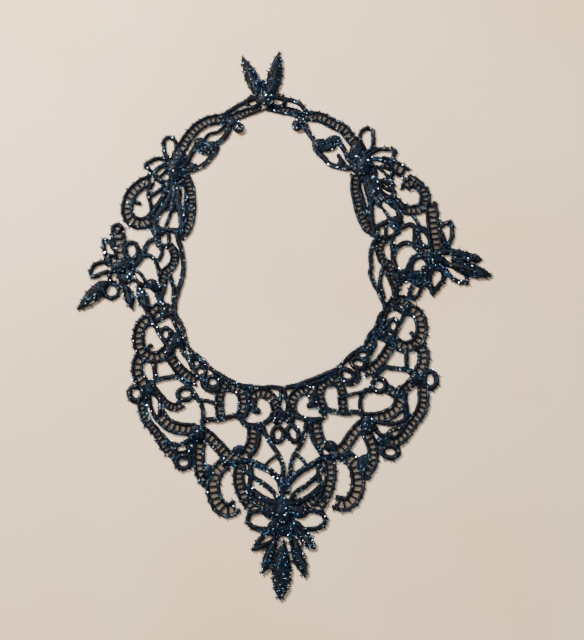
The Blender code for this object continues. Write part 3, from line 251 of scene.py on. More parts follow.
@dataclass(frozen=True)
class BeadFinish:
    """Dark glass seed beads with a rainbow coat: navy and teal, here and there violet or silver."""

    name: str
    stops: tuple[tuple[float, str], ...]  # the share of beads from which each colour runs
    roughness: float
    metallic: float = 0.75
    coat: float = 0.4  # clear glass over the colour
    coat_roughness: float = 0.06

    def material(self) -> bpy.types.Material:
        """Make the material.

        Returns:
            The material.
        """
        surface, tree, shader = new_material(self.name)
        tone = add_node(tree, "ShaderNodeAttribute", attribute_name="tone")
        tint = add_node(tree, "ShaderNodeValToRGB", Fac=tone.outputs["Fac"])
        set_ramp(tint.color_ramp, self.stops, constant=True)
        tree.links.new(tint.outputs["Color"], shader.inputs["Base Color"])
        shader.inputs["Metallic"].default_value = self.metallic
        shader.inputs["Roughness"].default_value = self.roughness
        shader.inputs["Coat Weight"].default_value = self.coat
        shader.inputs["Coat Roughness"].default_value = self.coat_roughness
        return surface


@dataclass(frozen=True)
class NetFinish:
    """The fine dark net behind the rungs of a ladder tape, open enough to show what is under it;
    its dense threads also paint the shade in the narrow gaps.
    """

    name: str
    colour: str
    mesh_size: float  # its pitch in millimetres
    thread_and_shade_share: float  # how much of the pitch is thread, set high to paint the shade in the gaps as well
    lie: float = 45.0  # degrees
    roughness: float = 0.7

    def material(self) -> bpy.types.Material:
        """Make the material.

        Returns:
            The material.
        """
        surface, tree, shader = new_material(self.name)
        where = add_node(tree, "ShaderNodeTexCoord")
        turned = add_node(tree, "ShaderNodeMapping", Vector=where.outputs["Object"],
                          Rotation=(0.0, 0.0, math.radians(self.lie)))
        # Painted shade: the net's dense threads stand partly for the shade in the tape's gaps.
        threads = []
        for axis in ("X", "Y"):
            bands = add_node(tree, "ShaderNodeTexWave", wave_type="BANDS", bands_direction=axis,
                             Vector=turned.outputs["Vector"],
                             Scale=WAVE_SCALE / (self.mesh_size * MM))
            over = add_node(tree, "ShaderNodeMath", operation="GREATER_THAN")
            tree.links.new(bands.outputs["Fac"], over.inputs[0])
            over.inputs[1].default_value = 1.0 - self.thread_and_shade_share
            threads.append(over)
        either = add_node(tree, "ShaderNodeMath", operation="MAXIMUM")
        tree.links.new(threads[0].outputs["Value"], either.inputs[0])
        tree.links.new(threads[1].outputs["Value"], either.inputs[1])
        tree.links.new(either.outputs["Value"], shader.inputs["Alpha"])
        shader.inputs["Base Color"].default_value = srgb(self.colour)
        shader.inputs["Roughness"].default_value = self.roughness
        return surface


@dataclass(frozen=True)
class SteelFinish:
    """Blackened wire: a thin brown-black oxide with brighter rubbed places."""

    name: str
    dark: str  # the oxide
    rubbed: str  # where it is worn
    patch: float = 1.111  # millimetres

    def material(self) -> bpy.types.Material:
        """Make the material.

        Returns:
            The material.
        """
        surface, tree, shader = new_material(self.name)
        where = add_node(tree, "ShaderNodeTexCoord")
        wear = add_node(tree, "ShaderNodeTexNoise", Vector=where.outputs["Object"],
                        Scale=1 / (self.patch * MM), Detail=4.0)
        tint = add_node(tree, "ShaderNodeValToRGB", Fac=wear.outputs["Fac"])
        set_ramp(tint.color_ramp, ((0.45, self.dark), (0.7, self.rubbed)))
        tree.links.new(tint.outputs["Color"], shader.inputs["Base Color"])
        tree.links.new(wear.outputs["Fac"], shader.inputs["Roughness"])
        shader.inputs["Metallic"].default_value = 1.0
        return surface


@dataclass(frozen=True)
class TableFinish:
    """A plain pale table top with a barely visible unevenness."""

    name: str
    colour: str
    shade: str  # the colour of its darker places
    patch: float = 166.67  # millimetres
    roughness: float = 0.6

    def material(self) -> bpy.types.Material:
        """Make the material.

        Returns:
            The material.
        """
        surface, tree, shader = new_material(self.name)
        where = add_node(tree, "ShaderNodeTexCoord")
        uneven = add_node(tree, "ShaderNodeTexNoise", Vector=where.outputs["Object"],
                          Scale=1 / (self.patch * MM), Detail=2.0)
        tint = add_node(tree, "ShaderNodeValToRGB", Fac=uneven.outputs["Fac"])
        set_ramp(tint.color_ramp, ((0.3, self.shade), (0.7, self.colour)))
        tree.links.new(tint.outputs["Color"], shader.inputs["Base Color"])
        shader.inputs["Roughness"].default_value = self.roughness
        return surface


# Viscose embroidery thread, wound tightly round a cotton core. Its smooth filaments mirror a
# little light along each turn, so a cord is nearly black with a dull blue edge where it rounds
# off. Its blue lustre is also painted into its colour, in random patches. The real turns are
# about 0.2 mm, too fine to show: they are drawn at 0.5 mm.
WOUND_CORD = ThreadFinish("wound_cord", "#030508", "#0b1520", 0.5, 0.55)

# The same thread, wound in a ball. The turns lie closer to the light and look a little smoother.
# Its blue lustre is painted into its colour in patches, as on the cords.
WOUND_KNOT = ThreadFinish("wound_knot", "#030508", "#0a131e", 0.55, 0.5)

# The same thread in satin stitch over felt. It shows between the beads with a greener cast, from
# its greener painted lustre.
LEAF_THREAD = ThreadFinish("leaf_thread", "#030507", "#0a181e", 0.5, 0.5)

# Cut glass seed beads with a fired metal-oxide coat. Each flat face gives one hard glint, and the
# coat turns it navy, teal, blue, violet, cyan or silver, one colour to a bead.
SEED_BEADS = BeadFinish(
    "seed_beads",
    ((0.0, "#0a0f1c"), (0.3, "#10264e"), (0.52, "#0d4462"), (0.66, "#1d5f9c"), (0.8, "#2c2a60"),
     (0.86, "#62b2d4"), (0.93, "#dcebf4")),
    0.13,
)

# Knotted polyamide net, dull and black. What lies under it shows through darkened, and its
# dense threads also paint the shade that falls in the narrow gaps of the tape. The real pitch
# is about 0.5 mm: it is drawn at 0.8 mm, so that it holds together in the render.
TAPE_NET_AND_SHADE = NetFinish("tape_net_and_shade", "#07090d", 0.8, 0.4)

# Steel wire, blackened in hot salts. The oxide drinks the light, and rubbed places glint grey.
DARK_STEEL = SteelFinish("dark_steel", "#17171a", "#5b5e63")

# A painted board with a matt, plain face that takes soft shadows.
PALE_TABLE = TableFinish("pale_table", "#f8dfbd", "#f2d2a8")


def smooth(route: tuple[tuple[float, float], ...], step: float = 1.2) -> Line:
    """Read a smooth curve through the points of a route, a step or so apart.

    Args:
        route: Two or more points.
        step: The distance between the points of the curve.

    Returns:
        The points of the curve.
    """
    points = np.array(route, float)
    if len(points) == 2:
        count = max(2, int(np.ceil(np.linalg.norm(points[1] - points[0]) / step)) + 1)
        return points[0] + (points[1] - points[0]) * np.linspace(0, 1, count)[:, None]
    ends = np.vstack([2 * points[0] - points[1], points, 2 * points[-1] - points[-2]])
    out = []
    for a, b, c, d in zip(ends[:-3], ends[1:-2], ends[2:-1], ends[3:]):
        count = max(1, int(np.ceil(np.linalg.norm(c - b) / step)))
        t1, t2, t3 = (math.sqrt(np.linalg.norm(v)) for v in (b - a, c - b, d - c))
        slope_b = t2 * ((b - a) / t1 - (c - a) / (t1 + t2) + (c - b) / t2)
        slope_c = t2 * ((c - b) / t2 - (d - b) / (t2 + t3) + (d - c) / t3)
        for t in np.arange(count) / count:
            out.append((2 * t**3 - 3 * t**2 + 1) * b + (t**3 - 2 * t**2 + t) * slope_b
                       + (3 * t**2 - 2 * t**3) * c + (t**3 - t**2) * slope_c)
    out.append(points[-1])
    return np.array(out)


def oval_points(oval: Oval, count: int = 24) -> Line:
    """Give the points round an oval.

    Args:
        oval: The oval.
        count: How many points.

    Returns:
        The points, the first one again at the end.
    """
    angle = np.linspace(0, 2 * math.pi, count + 1)
    turn = math.radians(oval.tilt)
    x, y = oval.rx * np.cos(angle), oval.ry * np.sin(angle)
    return np.c_[oval.x + math.cos(turn) * x - math.sin(turn) * y,
                 oval.y + math.sin(turn) * x + math.cos(turn) * y]


def sides_of(line: Line) -> np.ndarray:
    """Give the direction to the left of a line at each of its points.

    Args:
        line: The points of the line.

    Returns:
        Directions of length 1.
    """
    ahead = np.gradient(line, axis=0)
    ahead /= np.maximum(np.linalg.norm(ahead, axis=1), TINY)[:, None]
    return np.c_[-ahead[:, 1], ahead[:, 0]]


def run_of(line: Line) -> np.ndarray:
    """Give the length of the way along a line to each of its points."""
    return np.concatenate([[0.0], np.cumsum(np.linalg.norm(np.diff(line, axis=0), axis=1))])


def at_lengths(line: Line, pitch: float, start: float = 0.5) -> tuple[np.ndarray, np.ndarray]:
    """Walk along a line and stop at even distances.

    Args:
        line: The points of the line.
        pitch: The distance between stops, evened out over the line.
        start: The share of a pitch before the first stop.

    Returns:
        The stops and the line's direction there, as angles.
    """
    run = run_of(line)
    count = max(1, int(round(run[-1] / pitch)))
    places = (np.arange(count) + start) * run[-1] / count
    out = np.c_[np.interp(places, run, line[:, 0]), np.interp(places, run, line[:, 1])]
    index = np.clip(np.searchsorted(run, places, side="right") - 1, 0, len(line) - 2)
    ahead = line[index + 1] - line[index]
    return out, np.arctan2(ahead[:, 1], ahead[:, 0])


@dataclass(frozen=True)
class Turnover:
    """The way from the left half to the right half, by the landmarks near each point.

    Attributes:
        landmarks: The places known on both halves.
    """

    landmarks: tuple[Landmark, ...]
    blur: float = 0.5  # keeps a landmark from counting for everything at its own place
    falloff: float = 1.6  # how fast it counts for less with the square of its distance

    def place(self, side: Side, points: Line) -> Line:
        """Lay points on their side.

        Args:
            side: LEFT leaves them where they are.
            points: Points of a table.

        Returns:
            The points where they lie.
        """
        if side is Side.LEFT:
            return np.asarray(points, float)
        source = np.array([[-m.left_x, m.left_y] for m in self.landmarks], float)
        target = np.array([[m.right_x, m.right_y] for m in self.landmarks], float)
        turned = np.asarray(points, float) * [-1, 1]
        out = np.empty_like(turned)
        for i, point in enumerate(turned):
            weight = 1.0 / (((source - point) ** 2).sum(1) + self.blur) ** self.falloff
            centre = (weight @ source) / weight.sum()
            goal = (weight @ target) / weight.sum()
            a, b = source - centre, target - goal
            size = (weight * (a ** 2).sum(1)).sum()
            along = (weight * (a * b).sum(1)).sum() / size
            across = (weight * (a[:, 0] * b[:, 1] - a[:, 1] * b[:, 0])).sum() / size
            dx, dy = point - centre
            out[i] = goal + [along * dx - across * dy, across * dx + along * dy]
        return out


@dataclass
class Field:
    """How far each point of a grid over the collar lies outside the lace, below zero inside it."""

    low: tuple[float, float] = (-140.0, -184.0)
    high: tuple[float, float] = (140.0, 184.0)
    step: float = 0.25
    far: float = 2.5  # past this nothing is measured
    inset: float = 0.02  # the least share of a step from a crossing to a grid point

    def __post_init__(self) -> None:
        """Start with nothing covered."""
        self.x = np.arange(self.low[0], self.high[0] + self.step / 2, self.step)
        self.y = np.arange(self.low[1], self.high[1] + self.step / 2, self.step)
        self.value = np.full((len(self.y), len(self.x)), self.far)

    def window(self, points: Line, reach: float) -> tuple[tuple[slice, slice], Line, Line]:
        """Find the part of the grid about some points.

        Args:
            points: The points.
            reach: How far round them it goes.

        Returns:
            Its rows and columns, and the x and the y of its points.
        """
        low, high = points.min(0) - reach, points.max(0) + reach
        columns = slice(max(0, int(np.searchsorted(self.x, low[0]))),
                        int(np.searchsorted(self.x, high[0])))
        rows = slice(max(0, int(np.searchsorted(self.y, low[1]))),
                     int(np.searchsorted(self.y, high[1])))
        return (rows, columns), *np.meshgrid(self.x[columns], self.y[rows])

    def add_line(self, points: Line, width: float) -> None:
        """Join a strand of one width, with round ends.

        Args:
            points: The middle of the strand.
            width: Its width.
        """
        for a, b in zip(points[:-1], points[1:]):
            part, gx, gy = self.window(np.array([a, b]), width / 2 + self.far)
            gap = distance_to(a, b, gx, gy) - width / 2
            self.value[part] = np.minimum(self.value[part], gap)

    def add_polygon(self, points: Line) -> None:
        """Join a filled outline.

        Args:
            points: The outline, the first point again at the end.
        """
        part, gx, gy = self.window(points, self.far)
        gap = np.full(gx.shape, self.far)
        within = np.zeros(gx.shape, bool)
        for a, b in zip(points[:-1], points[1:]):
            gap = np.minimum(gap, distance_to(a, b, gx, gy))
            meets = (b[0] - a[0]) * (gy - a[1]) / (b[1] - a[1] + TINY) + a[0]
            within ^= ((a[1] > gy) != (b[1] > gy)) & (gx < meets)
        self.value[part] = np.minimum(self.value[part], np.where(within, -gap, gap))

    def give_way(self, other: "Field", gap: float) -> None:
        """Draw back from what another field covers, and stay a gap away from it."""
        self.value = np.maximum(self.value, gap - other.value)

    def join(self, other: "Field") -> None:
        """Take in what another field covers."""
        self.value = np.minimum(self.value, other.value)

    def crossing(self, edge: Edge) -> tuple[float, float]:
        """Find where the field is zero between two neighbouring points of the grid.

        Args:
            edge: The row and column of each.

        Returns:
            The place.
        """
        (r0, c0), (r1, c1) = edge
        a, b = self.value[r0, c0], self.value[r1, c1]
        share = min(max(a / (a - b), self.inset), 1 - self.inset)
        return (self.x[c0] + share * (self.x[c1] - self.x[c0]),
                self.y[r0] + share * (self.y[r1] - self.y[r0]))

    def contours(self) -> list[Line]:
        """Find the closed lines where the field is zero.

        Returns:
            The loops; outer ones run left about their inside, so their area is above zero.
        """
        solid = self.value < 0
        nexts: dict[Edge, Edge] = {}
        covered = solid[:-1, :-1].astype(int) + solid[:-1, 1:] + solid[1:, 1:] + solid[1:, :-1]
        for r, c in np.argwhere((covered > 0) & (covered < 4)):
            corners = ((r, c), (r, c + 1), (r + 1, c + 1), (r + 1, c))
            state = [bool(solid[corner]) for corner in corners]
            edges = [tuple(sorted((corners[i], corners[(i + 1) % 4]))) for i in range(4)]
            leaving = [i for i in range(4) if state[i] and not state[(i + 1) % 4]]
            entering = [i for i in range(4) if not state[i] and state[(i + 1) % 4]]
            for i in leaving:
                nexts[edges[i]] = edges[min(entering, key=lambda e: (i - e) % 4)]
        loops = []
        while nexts:
            start = next(iter(nexts))
            loop = [start]
            edge = nexts.pop(start)
            while edge != start:
                loop.append(edge)
                edge = nexts.pop(edge)
            loops.append(np.array([self.crossing(edge) for edge in loop]))
        return loops


def distance_to(a: np.ndarray, b: np.ndarray, gx: np.ndarray, gy: np.ndarray) -> np.ndarray:
    """Measure how far points lie from a straight stretch.

    Args:
        a: Where the stretch starts.
        b: Where it ends.
        gx: The x of each point.
        gy: The y of each point.

    Returns:
        Each point's distance.
    """
    along = b - a
    share = ((gx - a[0]) * along[0] + (gy - a[1]) * along[1]) / max(float(along @ along), TINY)
    share = np.clip(share, 0, 1)
    return np.hypot(gx - a[0] - share * along[0], gy - a[1] - share * along[1])


def loop_area(loop: Line) -> float:
    """Measure the area inside a loop, below zero where it runs the other way round."""
    x, y = loop[:, 0], loop[:, 1]
    return 0.5 * float(np.sum(x * np.roll(y, -1) - np.roll(x, -1) * y))


def thin_line(points: Line, ease: float) -> Line:
    """Leave out the points that lie close to the line between those kept.

    Args:
        points: An open line.
        ease: How far a point may lie from the line that is kept.

    Returns:
        The points that are kept.
    """
    keep = np.zeros(len(points), bool)
    keep[[0, -1]] = True
    spans = [(0, len(points) - 1)]
    while spans:
        first, last = spans.pop()
        if last <= first + 1:
            continue
        a, b = points[first], points[last]
        along = (b - a) / (np.linalg.norm(b - a) + TINY)
        rest = points[first + 1:last] - a
        away = np.abs(rest[:, 0] * along[1] - rest[:, 1] * along[0])
        far = int(np.argmax(away))
        if away[far] > ease:
            keep[first + 1 + far] = True
            spans += [(first, first + 1 + far), (first + 1 + far, last)]
    return points[keep]


def simple_loop(loop: Line, ease: float = 0.06, shortest: float = 0.2) -> Line:
    """Thin a closed loop, starting from two of its points that lie far apart.

    Args:
        loop: The loop's points.
        ease: How far a point may lie from the line that is kept.
        shortest: The shortest edge that is kept.

    Returns:
        The points that are kept.
    """
    start = int(np.argmax(((loop - loop.mean(0)) ** 2).sum(1)))
    loop = np.roll(loop, -start, axis=0)
    half = int(np.argmax(((loop - loop[0]) ** 2).sum(1)))
    first = thin_line(loop[:half + 1], ease)
    second = thin_line(np.vstack([loop[half:], loop[:1]]), ease)
    points = np.vstack([first[:-1], second[:-1]])
    kept = [points[0]]
    for point in points[1:]:
        if np.linalg.norm(point - kept[-1]) > shortest:
            kept.append(point)
    return np.array(kept)


def add_object(name: str, mesh: bpy.types.Mesh,
               surface: bpy.types.Material) -> bpy.types.Object:
    """Put a mesh in the scene under a name.

    Args:
        name: The object's name.
        mesh: Its mesh.
        surface: Its material.

    Returns:
        The object.
    """
    mesh.name = name
    obj = bpy.data.objects.new(name, mesh)
    bpy.context.scene.collection.objects.link(obj)
    mesh.materials.clear()
    mesh.materials.append(surface)
    return obj


def finish_mesh(name: str, work: bmesh.types.BMesh,
                surface: bpy.types.Material) -> bpy.types.Object:
    """Turn a bmesh into an object.

    Args:
        name: The object's name.
        work: The bmesh, which is freed.
        surface: Its material.

    Returns:
        The object.
    """
    mesh = bpy.data.meshes.new(name)
    work.to_mesh(mesh)
    work.free()
    return add_object(name, mesh, surface)


def flat_piece(name: str, loops: list[Line], thick: float,
               surface: bpy.types.Material) -> bpy.types.Object:
    """Make a flat piece with an outline and holes, lying on the surface under the collar.

    Args:
        name: The object's name.
        loops: The outline and the holes.
        thick: Its thickness.
        surface: Its material.

    Returns:
        The piece.
    """
    curve = bpy.data.curves.new(name, "CURVE")
    curve.dimensions = "2D"
    curve.fill_mode = "BOTH"
    curve.extrude = thick / 2 * MM
    for loop in loops:
        spline = curve.splines.new("POLY")
        spline.points.add(len(loop) - 1)
        places = np.c_[loop * MM, np.zeros(len(loop)), np.ones(len(loop))]
        spline.points.foreach_set("co", places.ravel())
        spline.use_cyclic_u = True
    guide = bpy.data.objects.new(name + "_outline", curve)
    bpy.context.scene.collection.objects.link(guide)
    seen = guide.evaluated_get(bpy.context.evaluated_depsgraph_get())
    mesh = bpy.data.meshes.new_from_object(seen)
    bpy.data.objects.remove(guide)
    bpy.data.curves.remove(curve)
    work = bmesh.new()
    work.from_mesh(mesh)
    bpy.data.meshes.remove(mesh)
    bmesh.ops.remove_doubles(work, verts=work.verts, dist=0.002 * MM)
    bmesh.ops.translate(work, verts=work.verts, vec=(0, 0, thick / 2 * MM))
    bmesh.ops.recalc_face_normals(work, faces=work.faces)
    return finish_mesh(name, work, surface)


@dataclass
class Cords:
    """Half-round cords and domes of wound thread, gathered into one mesh.

    Attributes:
        work: The mesh that they are gathered in. Its "wind" layer holds how far along the winding
            each vertex lies, and where it lies round the cord.
    """

    work: bmesh.types.BMesh = field(default_factory=bmesh.new)
    end_reach: tuple[float, ...] = (0.4, 0.8, 0.98)  # in half widths, from the cord outwards
    end_size: tuple[float, ...] = (0.92, 0.6, 0.2)
    dome_levels: tuple[float, ...] = (0.0, 0.28, 0.52, 0.72, 0.88, 0.98)  # shares of its height
    dome_wind: float = 3.0  # millimetres of winding over a dome
    sharp: float = 60.0  # degrees from which an edge shows

    def loft(self, rings: np.ndarray, along: np.ndarray, closed: bool = False) -> None:
        """Extrude a face from ring to ring and add the body to the others.

        Args:
            rings: Rings by points by x, y and z.
            along: How far along the winding each ring lies.
            closed: Whether the last ring joins the first.
        """
        if closed:
            rings = np.concatenate([rings, rings[:1]])
            along = np.append(along, along[-1] + along[1] - along[0])
        size = rings.shape[1]
        body = bmesh.new()
        wind = body.verts.layers.float_vector.new("wind")
        bmesh.ops.create_circle(body, cap_ends=True, segments=size, radius=1.0)
        first = cap = next(iter(body.faces))
        for number, (ring, run) in enumerate(zip((rings * MM).tolist(), along.tolist())):
            if number:
                grown = bmesh.ops.extrude_face_region(body, geom=[cap], use_keep_orig=number == 1)
                cap = next(part for part in grown["geom"] if isinstance(part, bmesh.types.BMFace))
            for turn, (vert, place) in enumerate(zip(cap.verts, ring)):
                vert.co = place
                vert[wind] = (run, turn / size, 0.0)
        if closed:
            bmesh.ops.delete(body, geom=[first, cap], context="FACES_ONLY")
            bmesh.ops.remove_doubles(body, verts=body.verts, dist=0.001 * MM)
        bmesh.ops.recalc_face_normals(body, faces=body.faces)
        mesh = bpy.data.meshes.new("body")
        body.to_mesh(mesh)
        body.free()
        self.work.from_mesh(mesh)
        bpy.data.meshes.remove(mesh)

    def add_cord(self, line: Line, width: float, height: float, closed: bool = False,
                 sides: int = CORD_SIDES) -> None:
        """Lay a half-round cord along a line.

        Args:
            line: The middle of the cord.
            width: Its width.
            height: Its height.
            closed: Whether the line is a loop, its first point again at the end.
            sides: How many faces run over its top.
        """
        if closed:
            line = line[:-1]
            ahead = np.roll(line, -1, axis=0) - np.roll(line, 1, axis=0)
            ahead /= np.linalg.norm(ahead, axis=1)[:, None]
            left = np.c_[-ahead[:, 1], ahead[:, 0]]
            scale = np.ones(len(line))
        else:
            left = sides_of(line)
            back = np.array([-left[0, 1], left[0, 0]]) * width / 2
            front = np.array([left[-1, 1], -left[-1, 0]]) * width / 2
            count = len(self.end_reach)
            scale = np.concatenate([self.end_size[::-1], np.ones(len(line)), self.end_size])
            line = np.vstack([[line[0] + back * reach for reach in self.end_reach[::-1]], line,
                              [line[-1] + front * reach for reach in self.end_reach]])
            left = np.vstack([[left[0]] * count, left, [left[-1]] * count])
        angle = np.linspace(0, math.pi, sides + 1)
        reach = (scale * width / 2)[:, None, None]
        flat = line[:, None, :] + np.cos(angle)[None, :, None] * left[:, None, :] * reach
        up = np.sin(angle)[None, :] * (scale * height)[:, None]
        self.loft(np.concatenate([flat, up[..., None]], axis=-1), run_of(line), closed)

    def add_dome(self, outline: Line, low: float, height: float) -> None:
        """Lay a wound dome over an outline.

        Args:
            outline: The outline, the first point again at the end.
            low: The height of its foot.
            height: Its height above its foot.
        """
        outline = outline[:-1]
        centre = outline.mean(0)
        levels = np.array(self.dome_levels)
        rings = []
        for level in levels:
            flat = centre + (outline - centre) * math.sqrt(1 - level ** 2)
            rings.append(np.c_[flat, np.full(len(flat), low + level * height)])
        self.loft(np.array(rings), levels * self.dome_wind)

    def build(self, name: str, surface: bpy.types.Material) -> bpy.types.Object | None:
        """Make the mesh.

        Args:
            name: The object's name.
            surface: Its material.

        Returns:
            The object, or None where nothing was added.
        """
        if not self.work.verts:
            return None
        piece = finish_mesh(name, self.work, surface)
        piece.data.shade_smooth()
        piece.data.set_sharp_from_angle(angle=math.radians(self.sharp))
        return piece


@dataclass
class Beads:
    """Small glass beads, gathered into one mesh.

    Attributes:
        chance: Where the small differences between beads come from.
        sewn: The places that beads already hold anywhere on the collar, by square of a grid.
        rows: Each bead's middle, direction and radius.
    """

    chance: np.random.Generator
    sewn: dict[tuple[int, int], list[tuple[float, float]]]
    rows: list[tuple[float, float, float, float, float]] = field(default_factory=list)
    square: float = 2.0  # the side of a square of the grid of places
    length: float = 0.82  # a share of its width
    dimple: float = 0.45  # where the ends lie, as a share of its radius
    around: int = 6  # flat faces round the hole
    bands: int = 4  # and from end to end
    stray: float = 0.08  # sideways
    lift: float = 0.06  # in height
    turn: float = 0.25  # radians, on the cloth
    tilt: float = 0.3  # radians, off the cloth
    sizes: tuple[float, float] = (0.88, 1.08)  # least and greatest, as shares of the usual one

    def add(self, spots: Line, angles: np.ndarray, level: float | np.ndarray, radius: float,
            skip: float = 0.06, clear: float = 1.45) -> None:
        """Sew beads at a row of spots, leaving out any that would sit in one sewn before.

        Args:
            spots: Where they sit.
            angles: The direction of the thread through each.
            level: The height of their middles.
            radius: Their radius.
            skip: The share that is missing.
            clear: How many radii two middles stay apart.
        """
        levels = np.broadcast_to(level, (len(spots),))
        for (x, y), angle, height in zip(spots, angles, levels):
            if self.chance.random() < skip:
                continue
            x += self.chance.normal(0, self.stray)
            y += self.chance.normal(0, self.stray)
            row, column = int(x // self.square), int(y // self.square)
            near = [bead for i in (-1, 0, 1) for j in (-1, 0, 1)
                    for bead in self.sewn.get((row + i, column + j), ())]
            if any((bead[0] - x) ** 2 + (bead[1] - y) ** 2 < (clear * radius) ** 2
                   for bead in near):
                continue
            self.sewn.setdefault((row, column), []).append((x, y))
            self.rows.append((x, y, height + self.chance.normal(0, self.lift),
                              angle + self.chance.normal(0, self.turn),
                              radius * self.chance.uniform(*self.sizes)))

    def shape(self) -> tuple[np.ndarray, list[list[int]]]:
        """Shape one bead: a short barrel with a dimple at each end of its hole.

        Returns:
            Its corners and its faces, at a radius of 1.
        """
        work = bmesh.new()
        bmesh.ops.create_uvsphere(work, u_segments=self.around, v_segments=self.bands, radius=1.0)
        for vert in work.verts:
            if math.hypot(vert.co.x, vert.co.y) < 0.1:
                vert.co.z *= self.dimple
        bmesh.ops.rotate(work, verts=work.verts, cent=(0, 0, 0),
                         matrix=Matrix.Rotation(math.pi / 2, 3, "Y"))
        bmesh.ops.scale(work, verts=work.verts, vec=(self.length, 1.0, 1.0))
        corners = np.array([vert.co for vert in work.verts])
        faces = [[vert.index for vert in face.verts] for face in work.faces]
        work.free()
        return corners, faces

    def build(self, name: str, surface: bpy.types.Material) -> bpy.types.Object | None:
        """Join copies of one bead, each with its own place, turn, size and tone.

        Args:
            name: The object's name.
            surface: Its material.

        Returns:
            The object, or None where there are no beads.
        """
        if not self.rows:
            return None
        corners, faces = self.shape()
        rows = np.array(self.rows)
        turn, tilt = rows[:, 3, None], self.chance.normal(0, self.tilt, len(rows))[:, None]
        x = corners[:, 0] * np.cos(tilt) - corners[:, 2] * np.sin(tilt)
        y = np.broadcast_to(corners[:, 1], x.shape)
        z = corners[:, 0] * np.sin(tilt) + corners[:, 2] * np.cos(tilt)
        bodies = np.stack([x * np.cos(turn) - y * np.sin(turn),
                           x * np.sin(turn) + y * np.cos(turn), z], axis=-1)
        bodies = bodies * rows[:, 4, None, None] + rows[:, None, :3]
        size = len(corners)
        mesh = bpy.data.meshes.new(name)
        mesh.from_pydata((bodies.reshape(-1, 3) * MM).tolist(), [],
                         [[bead * size + corner for corner in face]
                          for bead in range(len(rows)) for face in faces])
        tone = mesh.attributes.new("tone", "FLOAT", "POINT")
        tone.data.foreach_set("value", np.repeat(self.chance.random(len(rows)), size))
        return add_object(name, mesh, surface)


def settle(piece: bpy.types.Object) -> bpy.types.Object:
    """Let a piece ride on the collar.

    Args:
        piece: The piece.

    Returns:
        The piece.
    """
    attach(piece, "root")
    return piece


@dataclass
class Workbox:
    """What every sub-assembly needs.

    Attributes:
        turnover: The way to the right half.
        chance: Where small differences come from.
        cord: The wound cord's material.
        knot: The knots' material.
        leaf: The leaves' thread.
        beads: The beads' material.
        net: The net's material.
        table: The table top that the collar lies on. It is not used.
        sewn: The places that beads hold, by square of a grid.
    """

    turnover: Turnover
    chance: np.random.Generator
    cord: bpy.types.Material
    knot: bpy.types.Material
    leaf: bpy.types.Material
    beads: bpy.types.Material
    net: bpy.types.Material
    table: bpy.types.Object
    sewn: dict[tuple[int, int], list[tuple[float, float]]] = field(default_factory=dict)
    starts: tuple[float, float] = (0.2, 0.6)  # how far into its first pitch a row starts
    heights: tuple[float, float] = (0.92, 1.08)  # least and greatest, as shares of the usual one

    def start_beads(self) -> Beads:
        """Start a group of beads that keep clear of all the others."""
        return Beads(self.chance, self.sewn)

    def start_share(self) -> float:
        """Choose how far into its first pitch a row of beads starts."""
        return self.chance.uniform(*self.starts)

    def vary(self, height: float) -> float:
        """Give a cord its own height, a little off the usual one."""
        return height * self.chance.uniform(*self.heights)


